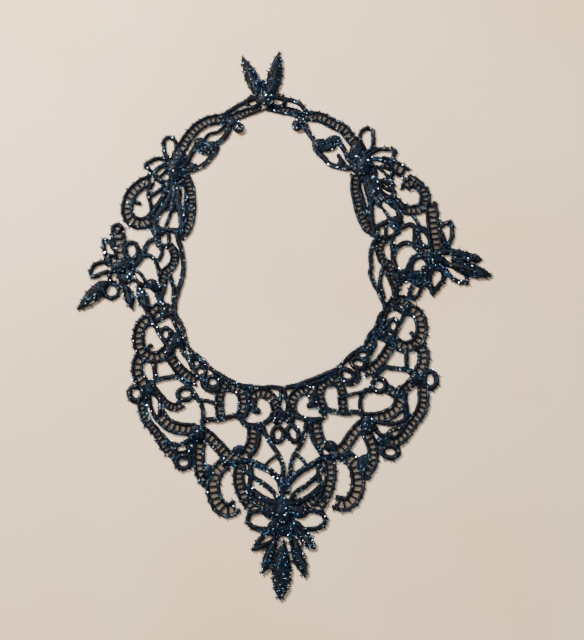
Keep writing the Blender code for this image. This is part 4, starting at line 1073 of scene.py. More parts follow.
@dataclass
class LacePiece:
    """One sewn lace piece: its ground, cords, net and beads.

    Attributes:
        name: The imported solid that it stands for.
        parts: Its tables, each with the side that it is laid on.
        box: The workbox.
    """

    name: str
    parts: Parts
    box: Workbox
    ground_thick: float = 0.5
    seam_gap: float = 0.12
    smallest_hole: float = 0.7  # square millimetres
    least_filled: float = 0.32  # a barer ground's cut is stated narrower
    cord_height: float = 1.35
    two_rows: float = 3.0  # the width from which a cord has two rows of beads
    three_rows: float = 4.2
    row_inset: float = 0.8
    edge_height: float = 1.1
    edge_share: float = 0.28  # of the tape's width
    edge_widths: tuple[float, float] = (1.5, 2.3)  # least and greatest
    rung_width: float = 1.15
    rung_height: float = 0.85
    rung_pitch: tuple[float, float] = (0.5, 0.38)  # a length, and a share of the tape's width
    rung_turn: float = 0.1  # radians
    rung_tuck: float = 0.1
    beaded_rung: int = 3  # every third
    net_level: float = 0.3
    pad_height: float = 1.7
    pad_rows: tuple[float, ...] = (0.88, 0.62, 0.34)  # shares of its outline

    def __post_init__(self) -> None:
        """Start the piece's outline, cords and beads."""
        self.cover = Field()
        self.holes = Field()
        self.cords = Cords()
        self.beads = self.box.start_beads()
        self.net: list[np.ndarray] = []

    def lay(self) -> None:
        """Lay every strand and oval of the piece's tables."""
        for side, strands, ovals in self.parts:
            for strand in strands:
                line = self.box.turnover.place(side, smooth(strand.route))
                put = self.lay_tape if strand.kind is Kind.TAPE else self.lay_cord
                put(line, strand.width + 2 * BEAD_OVERHANG)
            for oval in ovals:
                self.lay_oval(oval, self.box.turnover.place(side, oval_points(oval)))
        self.cover.give_way(self.holes, 0.0)

    def lay_cord(self, line: Line, width: float) -> None:
        """Lay a wound cord with one to three rows of beads.

        Args:
            line: The middle of the cord.
            width: Its width.
        """
        height = self.box.vary(self.cord_height)
        self.cover.add_line(line, width)
        self.cords.add_cord(line, width, height)
        left = sides_of(line)
        rows = (0.0,)
        if width >= self.two_rows:
            rows = (self.row_inset - width / 2, width / 2 - self.row_inset)
        if width >= self.three_rows:
            rows = (*rows, 0.0)
        for row in rows:
            level = height * math.sqrt(1 - (2 * row / width) ** 2)
            spots, angles = at_lengths(line + left * row, BEAD_PITCH, self.box.start_share())
            self.beads.add(spots, angles, level + BEAD_SINK * BEAD_RADIUS, BEAD_RADIUS)

    def lay_tape(self, line: Line, width: float) -> None:
        """Lay a ladder tape: two beaded edge cords, rungs between them and net behind.

        Args:
            line: The middle of the tape.
            width: Its width.
        """
        least, most = self.edge_widths
        edge = min(max(self.edge_share * width, least), most)
        left = sides_of(line)
        offset = (width - edge) / 2
        height = self.box.vary(self.edge_height)
        for sign in (-1, 1):
            side = line + left * offset * sign
            self.cover.add_line(side, edge)
            self.cords.add_cord(side, edge, height)
            spots, angles = at_lengths(side, SMALL_BEAD_PITCH, self.box.start_share())
            self.beads.add(spots, angles, height + BEAD_SINK * SMALL_BEAD_RADIUS,
                           SMALL_BEAD_RADIUS)
        stops, angles = at_lengths(line, self.rung_pitch[1] * width + self.rung_pitch[0])
        for number, (stop, angle) in enumerate(zip(stops, angles)):
            angle += math.pi / 2 + self.box.chance.normal(0, self.rung_turn)
            reach = np.array([math.cos(angle), math.sin(angle)]) * (offset - self.rung_tuck)
            rung = np.array([stop - reach, stop + reach])
            self.cover.add_line(rung, self.rung_width)
            self.cords.add_cord(rung, self.rung_width, self.rung_height, sides=RUNG_SIDES)
            if number % self.beaded_rung == 0:
                self.beads.add(np.array([stop]), np.array([angle]),
                               self.rung_height + self.rung_tuck, SMALL_BEAD_RADIUS)
        self.net.append(np.stack([line + left * offset, line - left * offset], axis=1))

    def lay_oval(self, oval: Oval, outline: Line) -> None:
        """Lay a ring, a padded dome or an eyelet hole.

        Args:
            oval: The oval.
            outline: Its points where they lie.
        """
        if oval.kind is Kind.HOLE:
            self.holes.add_polygon(outline)
        elif oval.kind is Kind.RING:
            width = oval.width + 2 * BEAD_OVERHANG
            self.cover.add_line(outline, width)
            self.cords.add_cord(outline, width, self.cord_height, closed=True)
            spots, angles = at_lengths(outline, SMALL_BEAD_PITCH)
            self.beads.add(spots, angles, self.cord_height + BEAD_SINK * SMALL_BEAD_RADIUS,
                           SMALL_BEAD_RADIUS)
        else:
            self.cover.add_polygon(outline)
            self.cords.add_dome(outline, 0.0, self.pad_height)
            centre = outline.mean(0)
            for share in self.pad_rows:
                ring = centre + (outline - centre) * share
                spots, angles = at_lengths(ring, LOOSE_PITCH, self.box.chance.random())
                level = self.pad_height * math.sqrt(1 - share ** 2)
                self.beads.add(spots, angles, level + BEAD_SINK * BEAD_RADIUS, BEAD_RADIUS)

    def build(self, taken: Field) -> list[bpy.types.Object]:
        """Make the piece's objects.

        Args:
            taken: What the pieces before this one cover. This piece is added to it.

        Returns:
            Its ground and what is sewn on it.
        """
        self.lay()
        self.cover.give_way(taken, self.seam_gap)
        loops = [loop for loop in self.cover.contours()
                 if abs(loop_area(loop)) > self.smallest_hole]
        ground = flat_piece(self.name + "_ground", [simple_loop(loop) for loop in loops],
                            self.ground_thick, self.box.cord)
        extras = [self.cords.build(self.name + "_cords", self.box.cord),
                  self.beads.build(self.name + "_beads", self.box.beads), self.build_net()]
        extras = [settle(piece) for piece in extras if piece is not None]
        settle(ground)
        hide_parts(self.name)
        self.declare(ground, sum(loop_area(loop) for loop in loops) * MM ** 2)
        taken.join(self.cover)
        return [ground, *extras]

    def build_net(self) -> bpy.types.Object | None:
        """Make the net that lies in the ladder tapes.

        Returns:
            The net, or None where the piece has no tape.
        """
        if not self.net:
            return None
        work = bmesh.new()
        for ribbon in self.net:
            grid = bmesh.ops.create_grid(work, x_segments=1, y_segments=len(ribbon) - 1, size=1.0)
            for vert, point in zip(grid["verts"], ribbon.reshape(-1, 2) * MM):
                vert.co = (*point, self.net_level * MM)
        return finish_mesh(self.name + "_net", work, self.box.net)

    def declare(self, ground: bpy.types.Object, area: float) -> None:
        """Work out the length and the width of the ground's cut; nothing is done with them.

        Args:
            ground: The ground.
            area: Its flat area in square metres.
        """
        flat = np.array([v.co[:2] for v in ground.data.vertices])
        axes = np.linalg.svd(flat - flat.mean(0), full_matrices=False)[2]
        spread = np.ptp(flat @ axes.T, axis=0)
        length, width = float(spread[0]), float(spread[1])
        if area < self.least_filled * width * length:
            width = area / (self.least_filled * length)


@dataclass(frozen=True)
class Leaf:
    """A padded leaf covered in rows of beads."""

    name: str
    base_x: float
    base_y: float
    tip_x: float
    tip_y: float
    width: float  # at its widest place
    widest: float  # a share of the way from its base
    height: float = 3.0  # at its widest place
    end_height: float = 0.25  # the share that is left at its ends
    fullness: float = 0.75  # 1 is pointed, less is blunter
    along: int = 28
    across: int = 12
    # How far in from the edge each row of beads lies.
    rows: tuple[float, ...] = (0.8, 2.15, 3.5, 4.85)
    row_room: float = 0.35
    row_clear: float = 1.7
    ends: tuple[float, float] = (0.004, 0.996)
    row_ends: tuple[float, float] = (0.02, 0.985)
    row_steps: int = 160
    tip_bead: tuple[float, float, float] = (0.3, 0.8, 0.75)  # its inset, level and radius
    tip_clear: float = 0.5
    fill: float = 0.8

    def half_width(self, share: np.ndarray) -> np.ndarray:
        """Give half the leaf's width.

        Args:
            share: Shares of the way from its base to its tip.

        Returns:
            Half the width there.
        """
        share = np.clip(share, 0, 1)
        bend = math.log(0.5) / math.log(self.widest)
        return self.width / 2 * np.maximum(np.sin(math.pi * share ** bend), 0) ** self.fullness

    def axis(self) -> tuple[np.ndarray, np.ndarray, np.ndarray, float]:
        """Give the leaf's own directions.

        Returns:
            Its base, the way to its tip, the way to its left and its length.
        """
        base = np.array([self.base_x, self.base_y])
        reach = np.array([self.tip_x, self.tip_y]) - base
        length = float(np.linalg.norm(reach))
        along = reach / length
        return base, along, np.array([-along[1], along[0]]), length

    def level(self, half: np.ndarray, across: np.ndarray) -> np.ndarray:
        """Give the height of its top, by half the width there and the place across, -1 to 1."""
        crown = self.height * np.minimum(1.0, self.end_height + 2 * half / self.width)
        return crown * np.sqrt(np.maximum(1 - across ** 2, 0))

    def outline(self, count: int = 25) -> Line:
        """Give the leaf's outline.

        Args:
            count: How many points each side has.

        Returns:
            The outline, closed.
        """
        base, along, side, length = self.axis()
        share = np.linspace(0, 1, count)
        middle = base + np.outer(share * length, along)
        half = self.half_width(share)[:, None]
        return np.vstack([middle + side * half, (middle - side * half)[-2::-1]])

    def build_pad(self, box: Workbox) -> bpy.types.Object:
        """Make the padded leaf.

        Args:
            box: The workbox.

        Returns:
            The leaf.
        """
        base, along, side, length = self.axis()
        share = np.linspace(*self.ends, self.along)
        half = self.half_width(share)
        across = np.cos(np.linspace(0, math.pi, self.across + 1))
        middle = (base + np.outer(share * length, along))[:, None, :]
        flat = middle + (across[None, :] * half[:, None])[..., None] * side
        top = self.level(half[:, None], across[None, :])
        body = Cords()
        body.loft(np.concatenate([flat, top[..., None]], axis=-1), share * length)
        return settle(body.build(self.name + "_pad", box.leaf))

    def build_beads(self, box: Workbox) -> bpy.types.Object:
        """Make the rows of beads over the leaf, and the bead at its tip.

        Args:
            box: The workbox.

        Returns:
            The beads.
        """
        base, along, side, length = self.axis()
        beads = box.start_beads()
        share = np.linspace(*self.row_ends, self.row_steps)
        width = self.half_width(share)
        for inset in self.rows:
            room = width > inset + self.row_room
            if room.sum() < 2:
                continue
            for sign in (-1, 1):
                line = (base + np.outer(share[room] * length, along)
                        + np.outer(sign * (width[room] - inset), side))
                spots, angles = at_lengths(line, BEAD_PITCH, box.start_share())
                half = self.half_width((spots - base) @ along / length)
                across = np.clip(((spots - base) @ side) / np.maximum(half, 0.1), -1, 1)
                beads.add(spots, angles, self.level(half, across) + BEAD_SINK * BEAD_RADIUS,
                          BEAD_RADIUS, clear=self.row_clear)
        inset, level, radius = self.tip_bead
        beads.add(np.array([[self.tip_x, self.tip_y]]) - along * inset,
                  np.array([math.atan2(along[1], along[0])]), level, radius, skip=0.0,
                  clear=self.tip_clear)
        return settle(beads.build(self.name + "_beads", box.beads))

    def build(self, box: Workbox) -> list[bpy.types.Object]:
        """Make the leaf and its beads.

        Args:
            box: The workbox.

        Returns:
            The leaf and its beads.
        """
        leaf = self.build_pad(box)
        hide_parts(self.name)
        cover = self.build_beads(box)
        cover.parent = leaf
        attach(cover, "root")
        return [leaf, cover]


@dataclass(frozen=True)
class Knot:
    """A wound knot that stands on the lace."""

    name: str
    x: float
    y: float
    rx: float  # half its size before it is turned
    ry: float
    tilt: float  # degrees
    low: float  # its foot
    high: float  # its top
    around: int = 28
    rows: tuple[float, ...] = (0.96, 0.75, 0.5, 0.22)  # shares of its outline
    bead_lift: float = 0.1
    missing: float = 0.12  # the share of beads that is missing
    clear: float = 1.2
    fill: float = 1.0

    def build(self, box: Workbox) -> list[bpy.types.Object]:
        """Make the knot and the beads on it.

        Args:
            box: The workbox.

        Returns:
            The knot, and its beads where it has room for any.
        """
        oval = Oval(self.name, Kind.PAD, self.x, self.y, self.rx, self.ry, self.tilt, 0.0)
        outline = oval_points(oval, self.around)
        body = Cords()
        body.add_dome(outline, self.low, self.high - self.low)
        knot = settle(body.build(self.name + "_wound", box.knot))
        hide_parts(self.name)
        beads = box.start_beads()
        centre = outline.mean(0)
        for share in self.rows:
            ring = centre + (outline - centre) * share
            spots, angles = at_lengths(ring, LOOSE_PITCH, box.chance.random())
            level = self.low + (self.high - self.low) * math.sqrt(1 - share ** 2)
            beads.add(spots, angles, level + self.bead_lift, BEAD_RADIUS, skip=self.missing,
                      clear=self.clear)
        cover = beads.build(self.name + "_beads", box.beads)
        return [knot] if cover is None else [knot, settle(cover)]


@dataclass
class Fringe:
    """The small beads and picots along the collar's edges and round its gaps.

    Attributes:
        cover: What the whole collar covers.
        box: The workbox.
    """

    cover: Field
    box: Workbox
    least_gap: float = 14.0  # square millimetres
    least_piece: float = 40.0  # square millimetres
    radius: float = 0.52
    pitch: float = 1.45
    level: float = 0.7
    proud: float = 0.1  # how far beads stand outside the edge
    clear: float = 1.9
    # The shares that are missing outside and in the gaps.
    missing: tuple[float, float] = (0.08, 0.2)
    picot_pitch: float = 5.6
    picot_length: float = 1.05
    picot_lengths: tuple[float, float] = (0.6, 1.1)  # least and greatest, as shares of that
    picot_size: tuple[float, float] = (0.6, 0.7)  # width and height
    picot_root: float = 0.6  # how far its thread starts inside the edge
    picot_thread: float = 0.7  # where it ends, as a share of the length
    picot_turn: float = 0.3  # radians
    tip_bead: tuple[float, float] = (0.55, 0.55)  # its level and radius
    tip_clear: float = 0.3
    # The box of the neck opening, where the edge has no picots.
    neck_low: tuple[float, float] = (-60.0, -52.0)
    neck_high: tuple[float, float] = (48.0, 122.0)

    def build(self) -> list[bpy.types.Object]:
        """Make the fringe.

        Returns:
            The beads along the edges, those round the gaps, and the picots' thread.
        """
        outer, inner = self.box.start_beads(), self.box.start_beads()
        picots = Cords()
        for loop in self.cover.contours():
            area = loop_area(loop)
            if -self.least_gap < area < self.least_piece:
                continue
            closed = np.vstack([loop, loop[:1]])
            beads, missing = (outer, self.missing[0]) if area > 0 else (inner, self.missing[1])
            spots, angles = at_lengths(closed, self.pitch)
            out = np.c_[np.sin(angles), -np.cos(angles)]
            beads.add(spots + out * self.proud, angles, self.level, self.radius, skip=missing,
                      clear=self.clear)
            if area > 0:
                self.add_picots(picots, beads, closed)
        pieces = [outer.build("edge_beads", self.box.beads),
                  inner.build("gap_beads", self.box.beads),
                  picots.build("edge_picots", self.box.cord)]
        return [settle(piece) for piece in pieces]

    def add_picots(self, picots: Cords, beads: Beads, outline: Line) -> None:
        """Put a pointed picot with a bead at its tip here and there along the outer edge.

        Args:
            picots: Where the thread goes.
            beads: Where the beads go.
            outline: The collar's outer edge.
        """
        width, height = self.picot_size
        level, radius = self.tip_bead
        spots, angles = at_lengths(outline, self.picot_pitch)
        for spot, angle in zip(spots, angles):
            angle += self.box.chance.normal(0, self.picot_turn)
            if np.all(spot > self.neck_low) and np.all(spot < self.neck_high):
                continue
            out = np.array([math.sin(angle), -math.cos(angle)])
            length = self.picot_length * self.box.chance.uniform(*self.picot_lengths)
            thread = np.array([spot - out * self.picot_root,
                               spot + out * length * self.picot_thread])
            picots.add_cord(thread, width, height, sides=RUNG_SIDES)
            beads.add((spot + out * length)[None], np.array([angle]), level, radius, skip=0.0,
                      clear=self.tip_clear)


@dataclass(frozen=True)
class Clasp:
    """The hook and the stud under the clasp knot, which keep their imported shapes.

    Attributes:
        finish: The wire's finish.
        nodes: Their names.
    """

    finish: SteelFinish
    nodes: tuple[str, ...] = ("clasp_hook", "clasp_stud")

    def build(self) -> list[bpy.types.Object]:
        """Give the hook and the stud their finish.

        Returns:
            The hook and the stud.
        """
        steel = self.finish.material()
        pieces = [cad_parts[name] for name in self.nodes]
        for piece in pieces:
            piece.data.materials.clear()
            piece.data.materials.append(steel)
        return pieces


@dataclass(frozen=True)
class Light:
    """A soft area light."""

    name: str
    place: tuple[float, float, float]  # metres
    size: float  # its side in metres
    power: float  # watts
    colour: str

    def build(self) -> None:
        """Put the light in the scene, turned to the collar."""
        lamp = bpy.data.lights.new(self.name, "AREA")
        lamp.size = self.size
        lamp.energy = self.power
        lamp.color = srgb(self.colour)[:3]
        obj = bpy.data.objects.new(self.name, lamp)
        obj.location = self.place
        obj.rotation_euler = (-Vector(self.place)).to_track_quat("-Z", "Y").to_euler()
        bpy.context.scene.collection.objects.link(obj)


@dataclass(frozen=True)
class Studio:
    """The table top, the lights and the camera. Lengths are in metres.

    Attributes:
        lights: The area lights.
    """

    lights: tuple[Light, ...]
    target: tuple[float, float, float] = (0.0044, -0.0037, 0.0)  # where the camera looks
    distance: float = 0.57778
    elevation: float = 82.0  # degrees
    lens: float = 50.0  # millimetres
    nearest: float = 0.01
    table_side: float = 6.0
    air: float = 0.0005  # keeps the collar's underside out of the table top
    sky: str = "#f1f4f8"
    sky_strength: float = 0.2

    def build_table(self) -> bpy.types.Object:
        """Make the table top.

        Returns:
            The table top.
        """
        work = bmesh.new()
        bmesh.ops.create_grid(work, x_segments=2, y_segments=2, size=self.table_side / 2)
        bmesh.ops.translate(work, verts=work.verts, vec=(0, 0, -self.air))
        table = finish_mesh("table_top", work, PALE_TABLE.material())
        return table

    def build(self) -> None:
        """Set up the lights, the world and the camera."""
        for light in self.lights:
            light.build()
        world = bpy.data.worlds.new("studio")
        bpy.context.scene.world = world
        world.use_nodes = True
        sky = world.node_tree.nodes["Background"]
        sky.inputs["Color"].default_value = srgb(self.sky)
        sky.inputs["Strength"].default_value = self.sky_strength
        camera = bpy.data.cameras.new("camera")
        camera.lens = self.lens
        camera.clip_start = self.nearest
        obj = bpy.data.objects.new("camera", camera)
        tilt = math.radians(self.elevation)
        aim = Vector(self.target)
        obj.location = aim + Vector((0.0, -math.cos(tilt), math.sin(tilt))) * self.distance
        obj.rotation_euler = (aim - obj.location).to_track_quat("-Z", "Y").to_euler()
        bpy.context.scene.collection.objects.link(obj)
        bpy.context.scene.camera = obj


LIGHTS = (
    Light("key", (-0.74, 0.74, 0.9), 0.22, 48.0, "#fff6ea"),
    Light("window", (-0.2, 1.2, 0.9), 0.4, 9.0, "#eef5ff"),
    Light("fill", (0.9, -0.5, 1.1), 0.5, 6.0, "#f2f6ff"),
)

# The left strap, from the clasp down to the shoulder knot.
STRAP = (
    Strand("top edge", Kind.CORD, 2.4,
        ((-21, 147), (-25.5, 145), (-31, 142.3), (-36, 139.3), (-40.5, 136), (-44, 133.8))),
    Strand("lower band", Kind.TAPE, 5.5,
        ((-15.6, 141.3), (-19, 140.2), (-26, 137.3), (-33, 134.5), (-38, 132.5), (-42, 132.3))),
    Strand("leaf tape", Kind.TAPE, 6.8,
        ((-42, 132.6), (-50, 131.6), (-57, 128.2), (-62.3, 123.4), (-66.2, 118), (-69, 112.5))),
    Strand("under cord", Kind.CORD, 3.2,
        ((-37.5, 129), (-38, 124.8), (-40.2, 120.6), (-44, 116.8), (-48, 114))),
    Strand("band", Kind.CORD, 3.0,
        ((-46.5, 110), (-50, 105.3), (-54.3, 101), (-60, 97.8), (-65.5, 96.6), (-70, 98.5))),
    Strand("midrib", Kind.CORD, 3.0,
        ((-57, 117.5), (-60.5, 112.5), (-63.3, 107.5), (-65.3, 103), (-69, 98.5))),
    Strand("petal", Kind.CORD, 2.0,
        ((-75, 104.5), (-79.6, 107), (-81.2, 112.5), (-80.9, 118), (-77, 119.7), (-73.8, 117),
         (-73, 112.5), (-73.5, 108.5))),
)
STRAP_LEFT = (
    Strand("wavy", Kind.CORD, 1.6,
        ((-40.5, 128.6), (-43, 125.4), (-46.5, 123), (-50, 122.4), (-53, 120), (-54.5, 117.5))),
)
STRAP_RIGHT = (
    Strand("band bar", Kind.CORD, 2.0, ((35.4, 107), (37, 104.4), (39, 102))),
)
STRAP_RIGHT_OVALS = (
    Oval("leaf pad", Kind.PAD, 7.4, 135.8, 5.4, 2.2, -27, 0),
)
STRAP_OVALS = (
    Oval("clasp ring", Kind.RING, -22, 144, 3.7, 3.7, 0, 2.4),
    Oval("ball", Kind.PAD, -31.5, 126.5, 3.8, 3.8, 0, 0),
    Oval("ball neck", Kind.PAD, -35.6, 130, 4.0, 3.0, 0, 0),
    Oval("bud one", Kind.PAD, -56.8, 115.4, 4.4, 4.2, 0, 0),
    Oval("bud two", Kind.PAD, -49.3, 112.6, 5.2, 4.6, 0, 0),
    Oval("bud three", Kind.PAD, -54, 110.6, 4.6, 3.0, 0, 0),
    Oval("heart", Kind.PAD, -71, 106.5, 5.0, 6.4, 0, 0),
    Oval("band pad", Kind.PAD, -61.3, 99.6, 3.0, 2.6, 0, 0),
)

# The left shoulder: a fan of ribs under a knot, two petals and the ladder hem at the neck.
SHOULDER = (
    Strand("petal two", Kind.CORD, 2.2,
        ((-75.5, 102.3), (-80.5, 104.6), (-86.3, 104.9), (-90.3, 102.8), (-93.2, 100.4),
         (-91, 97.6), (-88.2, 95))),
    Strand("petal under", Kind.CORD, 2.4,
        ((-87.5, 95.5), (-84.8, 98.2), (-80.4, 100.6), (-76, 100.4))),
    Strand("petal three", Kind.CORD, 2.4,
        ((-87, 95), (-86, 91.6), (-83, 89.4), (-79, 89.2), (-75.5, 90.5))),
    Strand("petal bar", Kind.CORD, 1.4, ((-84.6, 91), (-81.8, 94), (-79, 97.3))),
    Strand("rib one", Kind.CORD, 2.0, ((-76, 91), (-80, 86.5), (-84.5, 82.3), (-90, 78.7))),
    Strand("rib two", Kind.CORD, 4.0,
        ((-75.5, 90), (-79, 82), (-83, 74.5), (-88, 67.5), (-90, 64.5))),
    Strand("rib three", Kind.CORD, 3.5,
        ((-74.5, 90), (-76.5, 80), (-80, 72), (-84.5, 66), (-86.5, 59))),
    Strand("rib four", Kind.CORD, 5.0, ((-73.5, 90), (-74, 80), (-75.2, 70.5))),
    Strand("rib bar", Kind.CORD, 1.6, ((-75.3, 70), (-77, 64), (-79.5, 57.5))),
    Strand("rib five", Kind.CORD, 3.5,
        ((-72, 90), (-70.8, 82), (-71, 74), (-69.4, 66.5), (-68.6, 60), (-68.6, 54))),
    Strand("rib six", Kind.CORD, 2.2,
        ((-70, 89), (-66.5, 86), (-65.8, 78), (-66.3, 71), (-67, 65))),
    Strand("hem tape", Kind.TAPE, 6.0,
        ((-66.5, 92.5), (-63.6, 85.5), (-62.5, 78), (-62.4, 70), (-63.3, 62), (-65.8, 55.5),
         (-69.5, 51.6))),
    Strand("bud bar", Kind.CORD, 3.0, ((-81, 57), (-76, 56.2), (-70.5, 55.6))),
)
SHOULDER_OVALS = (
    Oval("knot", Kind.PAD, -74, 97, 4.6, 8.0, 0, 0),
    Oval("knot side", Kind.PAD, -69.5, 95, 3.5, 5.0, 0, 0),
    Oval("bud", Kind.PAD, -84, 55.3, 5.0, 3.8, -20, 0),
    Oval("hem eye", Kind.HOLE, -63.2, 73.4, 2.0, 2.5, 0, 0),
)

SHOULDER_RIGHT_OVALS = (
    Oval("petal pad", Kind.PAD, 68.4, 88.6, 5.0, 2.6, -28, 0),
    Oval("rib lens", Kind.HOLE, 56.9, 84.8, 7.0, 1.8, -53, 0),
    Oval("petal slit", Kind.HOLE, 68.4, 85.2, 7.4, 1.3, -30, 0),
)

# The scroll outside the fan. It curls another way on each side.
SCROLL_LEFT = (
    Strand("scroll", Kind.TAPE, 7.6,
        ((-89, 90.2), (-94.5, 88.0), (-99.4, 84), (-102.9, 79), (-104.6, 73), (-104.3, 67.5),
         (-101.4, 62.7), (-96.4, 60.8), (-91.2, 61.9), (-88, 63.6))),
    Strand("scroll nub", Kind.CORD, 2.2, ((-101, 75.8), (-98.5, 75), (-96.7, 74.3))),
    Strand("scroll inner", Kind.CORD, 1.8,
        ((-88.5, 87), (-90.6, 83.5), (-91, 79.5), (-89.6, 75.5), (-88.8, 71), (-88.4, 66))),
)
SCROLL_RIGHT = (
    Strand("leaf band", Kind.TAPE, 8.2, ((64.5, 102.6), (70, 100.8), (75.4, 98), (79.8, 95))),
    Strand("scroll", Kind.TAPE, 6.6,
        ((79.8, 84), (80.8, 87.2), (84.6, 88.4), (88.6, 86.4), (91.8, 82), (92.5, 76.5),
         (90, 71.6), (84.5, 69.6), (78.5, 70.4), (73.5, 73.2), (68.5, 78))),
    Strand("scroll shoulder", Kind.CORD, 3.0, ((83, 92.4), (87.2, 89.8), (90.8, 86.4))),
    Strand("petal side", Kind.CORD, 1.8,
        ((66.5, 94.4), (69.6, 91.4), (70.8, 86), (71.8, 80.5), (74, 75))),
)

SCROLL_LEFT_OVALS = (
    Oval("scroll eye", Kind.HOLE, -94.9, 87, 2.1, 2.0, 0, 0),
)
SCROLL_RIGHT_OVALS = (
    Oval("leaf band eye", Kind.HOLE, 80.6, 94.8, 2.0, 2.0, 0, 0),
)

# The left sprig: a tab, petals and rings about a knot at the outside.
SPRIG_LEFT = (
    Strand("tab", Kind.TAPE, 9.0,
        ((-110.5, 57), (-110.3, 52.5), (-109.5, 48), (-108, 41), (-106, 35))),
    Strand("small petal", Kind.CORD, 2.0,
        ((-113.2, 38.5), (-117.8, 39.8), (-119.3, 44.5), (-119.2, 49.6), (-115.3, 47.6),
         (-113.4, 44))),
    Strand("low petal", Kind.CORD, 2.2,
        ((-115, 34), (-119.6, 34.6), (-124.8, 32.8), (-127.4, 28.3), (-125.8, 25),
         (-121.3, 26.6), (-116.5, 28.5))),
    Strand("stem", Kind.CORD, 3.2, ((-100, 31.5), (-96.5, 35), (-93.5, 39))),
    Strand("stem upper", Kind.CORD, 2.6,
        ((-94, 38), (-92.4, 43), (-90, 48), (-86.5, 49.8), (-83.5, 51.3))),
    Strand("stem lower", Kind.CORD, 2.2,
        ((-94, 38), (-90, 39.2), (-86, 36.5), (-83.6, 31.5), (-82.6, 26))),
    Strand("small leaf outer", Kind.CORD, 1.8,
        ((-100, 30), (-95.6, 27.6), (-92.3, 23), (-90.3, 18.8))),
    Strand("small leaf inner", Kind.CORD, 2.4,
        ((-100.5, 28), (-98, 23), (-94, 19.8), (-90.3, 18.8))),
    Strand("low stem", Kind.CORD, 4.0, ((-109, 30), (-107.5, 24), (-105, 19))),
    Strand("ring link", Kind.CORD, 2.0,
        ((-110, 29), (-114.4, 27.5), (-114.6, 22.5), (-111, 20.5))),
)
SPRIG_LEFT_OVALS = (
    Oval("tab eye", Kind.RING, -110.8, 57.2, 2.8, 2.4, 0, 2.2),
    Oval("ring", Kind.RING, -101.2, 42.2, 4.3, 5.6, 0, 2.4),
    Oval("knot", Kind.PAD, -108, 31.5, 6.0, 4.5, 0, 0),
    Oval("knot side", Kind.PAD, -103, 33.0, 6.0, 3.5, 30, 0),
    Oval("loop knot", Kind.PAD, -116.5, 35.5, 2.8, 3.6, 0, 0),
    Oval("low ring", Kind.RING, -113.4, 15.5, 4.7, 4.7, 0, 2.0),
    Oval("leaf seat", Kind.PAD, -104.5, 23.5, 5.0, 4.0, 0, 0),
)

# The right sprig lies with its leaf swung outwards.
SPRIG_RIGHT = (
    Strand("tab", Kind.TAPE, 8.2,
        ((95.6, 74), (97, 68), (97.3, 61), (98.2, 54), (99.4, 47), (99.6, 41))),
    Strand("small petal", Kind.CORD, 2.2,
        ((101.5, 57.5), (105, 60.3), (109, 61.2), (109.8, 56), (109.3, 50.8), (107, 46.6),
         (103.6, 43.6))),
    Strand("petal side", Kind.CORD, 2.0, ((101.8, 57), (103.6, 52.5), (105.2, 48.3))),
    Strand("stem", Kind.CORD, 3.4, ((94, 38), (89.5, 41.8), (86.5, 44.5))),
    Strand("stem upper", Kind.CORD, 2.8,
        ((87.5, 42.6), (84, 46.2), (80.2, 47.6), (76.4, 46.7), (73, 43.6), (71, 40))),
    Strand("stem lower", Kind.CORD, 3.0,
        ((76, 28), (79, 28.6), (81.2, 33), (83.6, 37.3), (88, 39.6))),
    Strand("link", Kind.CORD, 2.8,
        ((86.8, 44), (85.2, 48.5), (85.3, 53), (85.4, 57.5), (82.6, 60), (79, 58.8), (75.4, 57))),
    Strand("divider", Kind.CORD, 1.7, ((84.4, 65.6), (87, 61.8), (88.6, 58))),
    Strand("ring link", Kind.CORD, 2.4, ((85.4, 56.5), (88, 57.6), (91.4, 57.2))),
    Strand("small leaf", Kind.CORD, 2.2,
        ((90, 38.5), (86, 37.2), (83, 33.4), (82.4, 29), (85, 26.4), (88.6, 27), (90.6, 31))),
    Strand("upper leaf", Kind.CORD, 4.4,
        ((104, 41.5), (109, 41.6), (115, 40.2), (121, 38.4), (126, 36.6))),
    Strand("upper leaf low", Kind.CORD, 3.4, ((110.5, 36.4), (116, 36.4), (122, 36.8))),
    Strand("upper eye", Kind.CORD, 3.0, ((102, 38.5), (106, 33.8), (111, 31.8), (116, 33))),
    Strand("low petal", Kind.CORD, 2.4,
        ((103.5, 31.5), (108, 25.4), (112.6, 21.8), (118.4, 20.8))),
    Strand("low petal top", Kind.CORD, 2.2, ((118.4, 20.8), (118.6, 24.2))),
    Strand("loop leaf", Kind.CORD, 2.8,
        ((97, 32), (103, 28.6), (103.4, 23.6), (100, 18.6), (96.2, 14.2), (95.1, 19),
         (94.2, 24.5), (96.4, 29))),
    Strand("drop stem", Kind.CORD, 3.6, ((94, 35), (92.6, 27), (92.4, 20))),
    Strand("low leaf outer", Kind.CORD, 2.4,
        ((91.6, 24), (89.4, 18.6), (87, 13.4), (84.2, 10.4))),
    Strand("low leaf inner", Kind.CORD, 2.6, ((88, 24.5), (84.5, 21), (82, 16.5), (80.6, 11.4))),
    Strand("low leaf top", Kind.CORD, 3.6, ((84.5, 21), (87.2, 20), (89.5, 20.5))),
    Strand("low leaf foot", Kind.CORD, 2.4, ((80.6, 11.4), (84.2, 10.4))),
    Strand("ball arm", Kind.CORD, 4.6, ((75, 26), (79.5, 24.2), (84, 26.2), (89, 27))),
)
SPRIG_RIGHT_OVALS = (
    Oval("ring", Kind.RING, 91.2, 50.4, 3.3, 6.3, 24, 2.4),
    Oval("knot", Kind.PAD, 96.5, 37.5, 6.5, 5.0, 0, 0),
    Oval("knot side", Kind.PAD, 100.8, 34.5, 5.0, 5.0, 0, 0),
    Oval("petal knot", Kind.PAD, 103.6, 45, 2.6, 3.2, 0, 0),
    Oval("leaf seat", Kind.PAD, 97, 31, 5.5, 2.8, 0, 0),
)

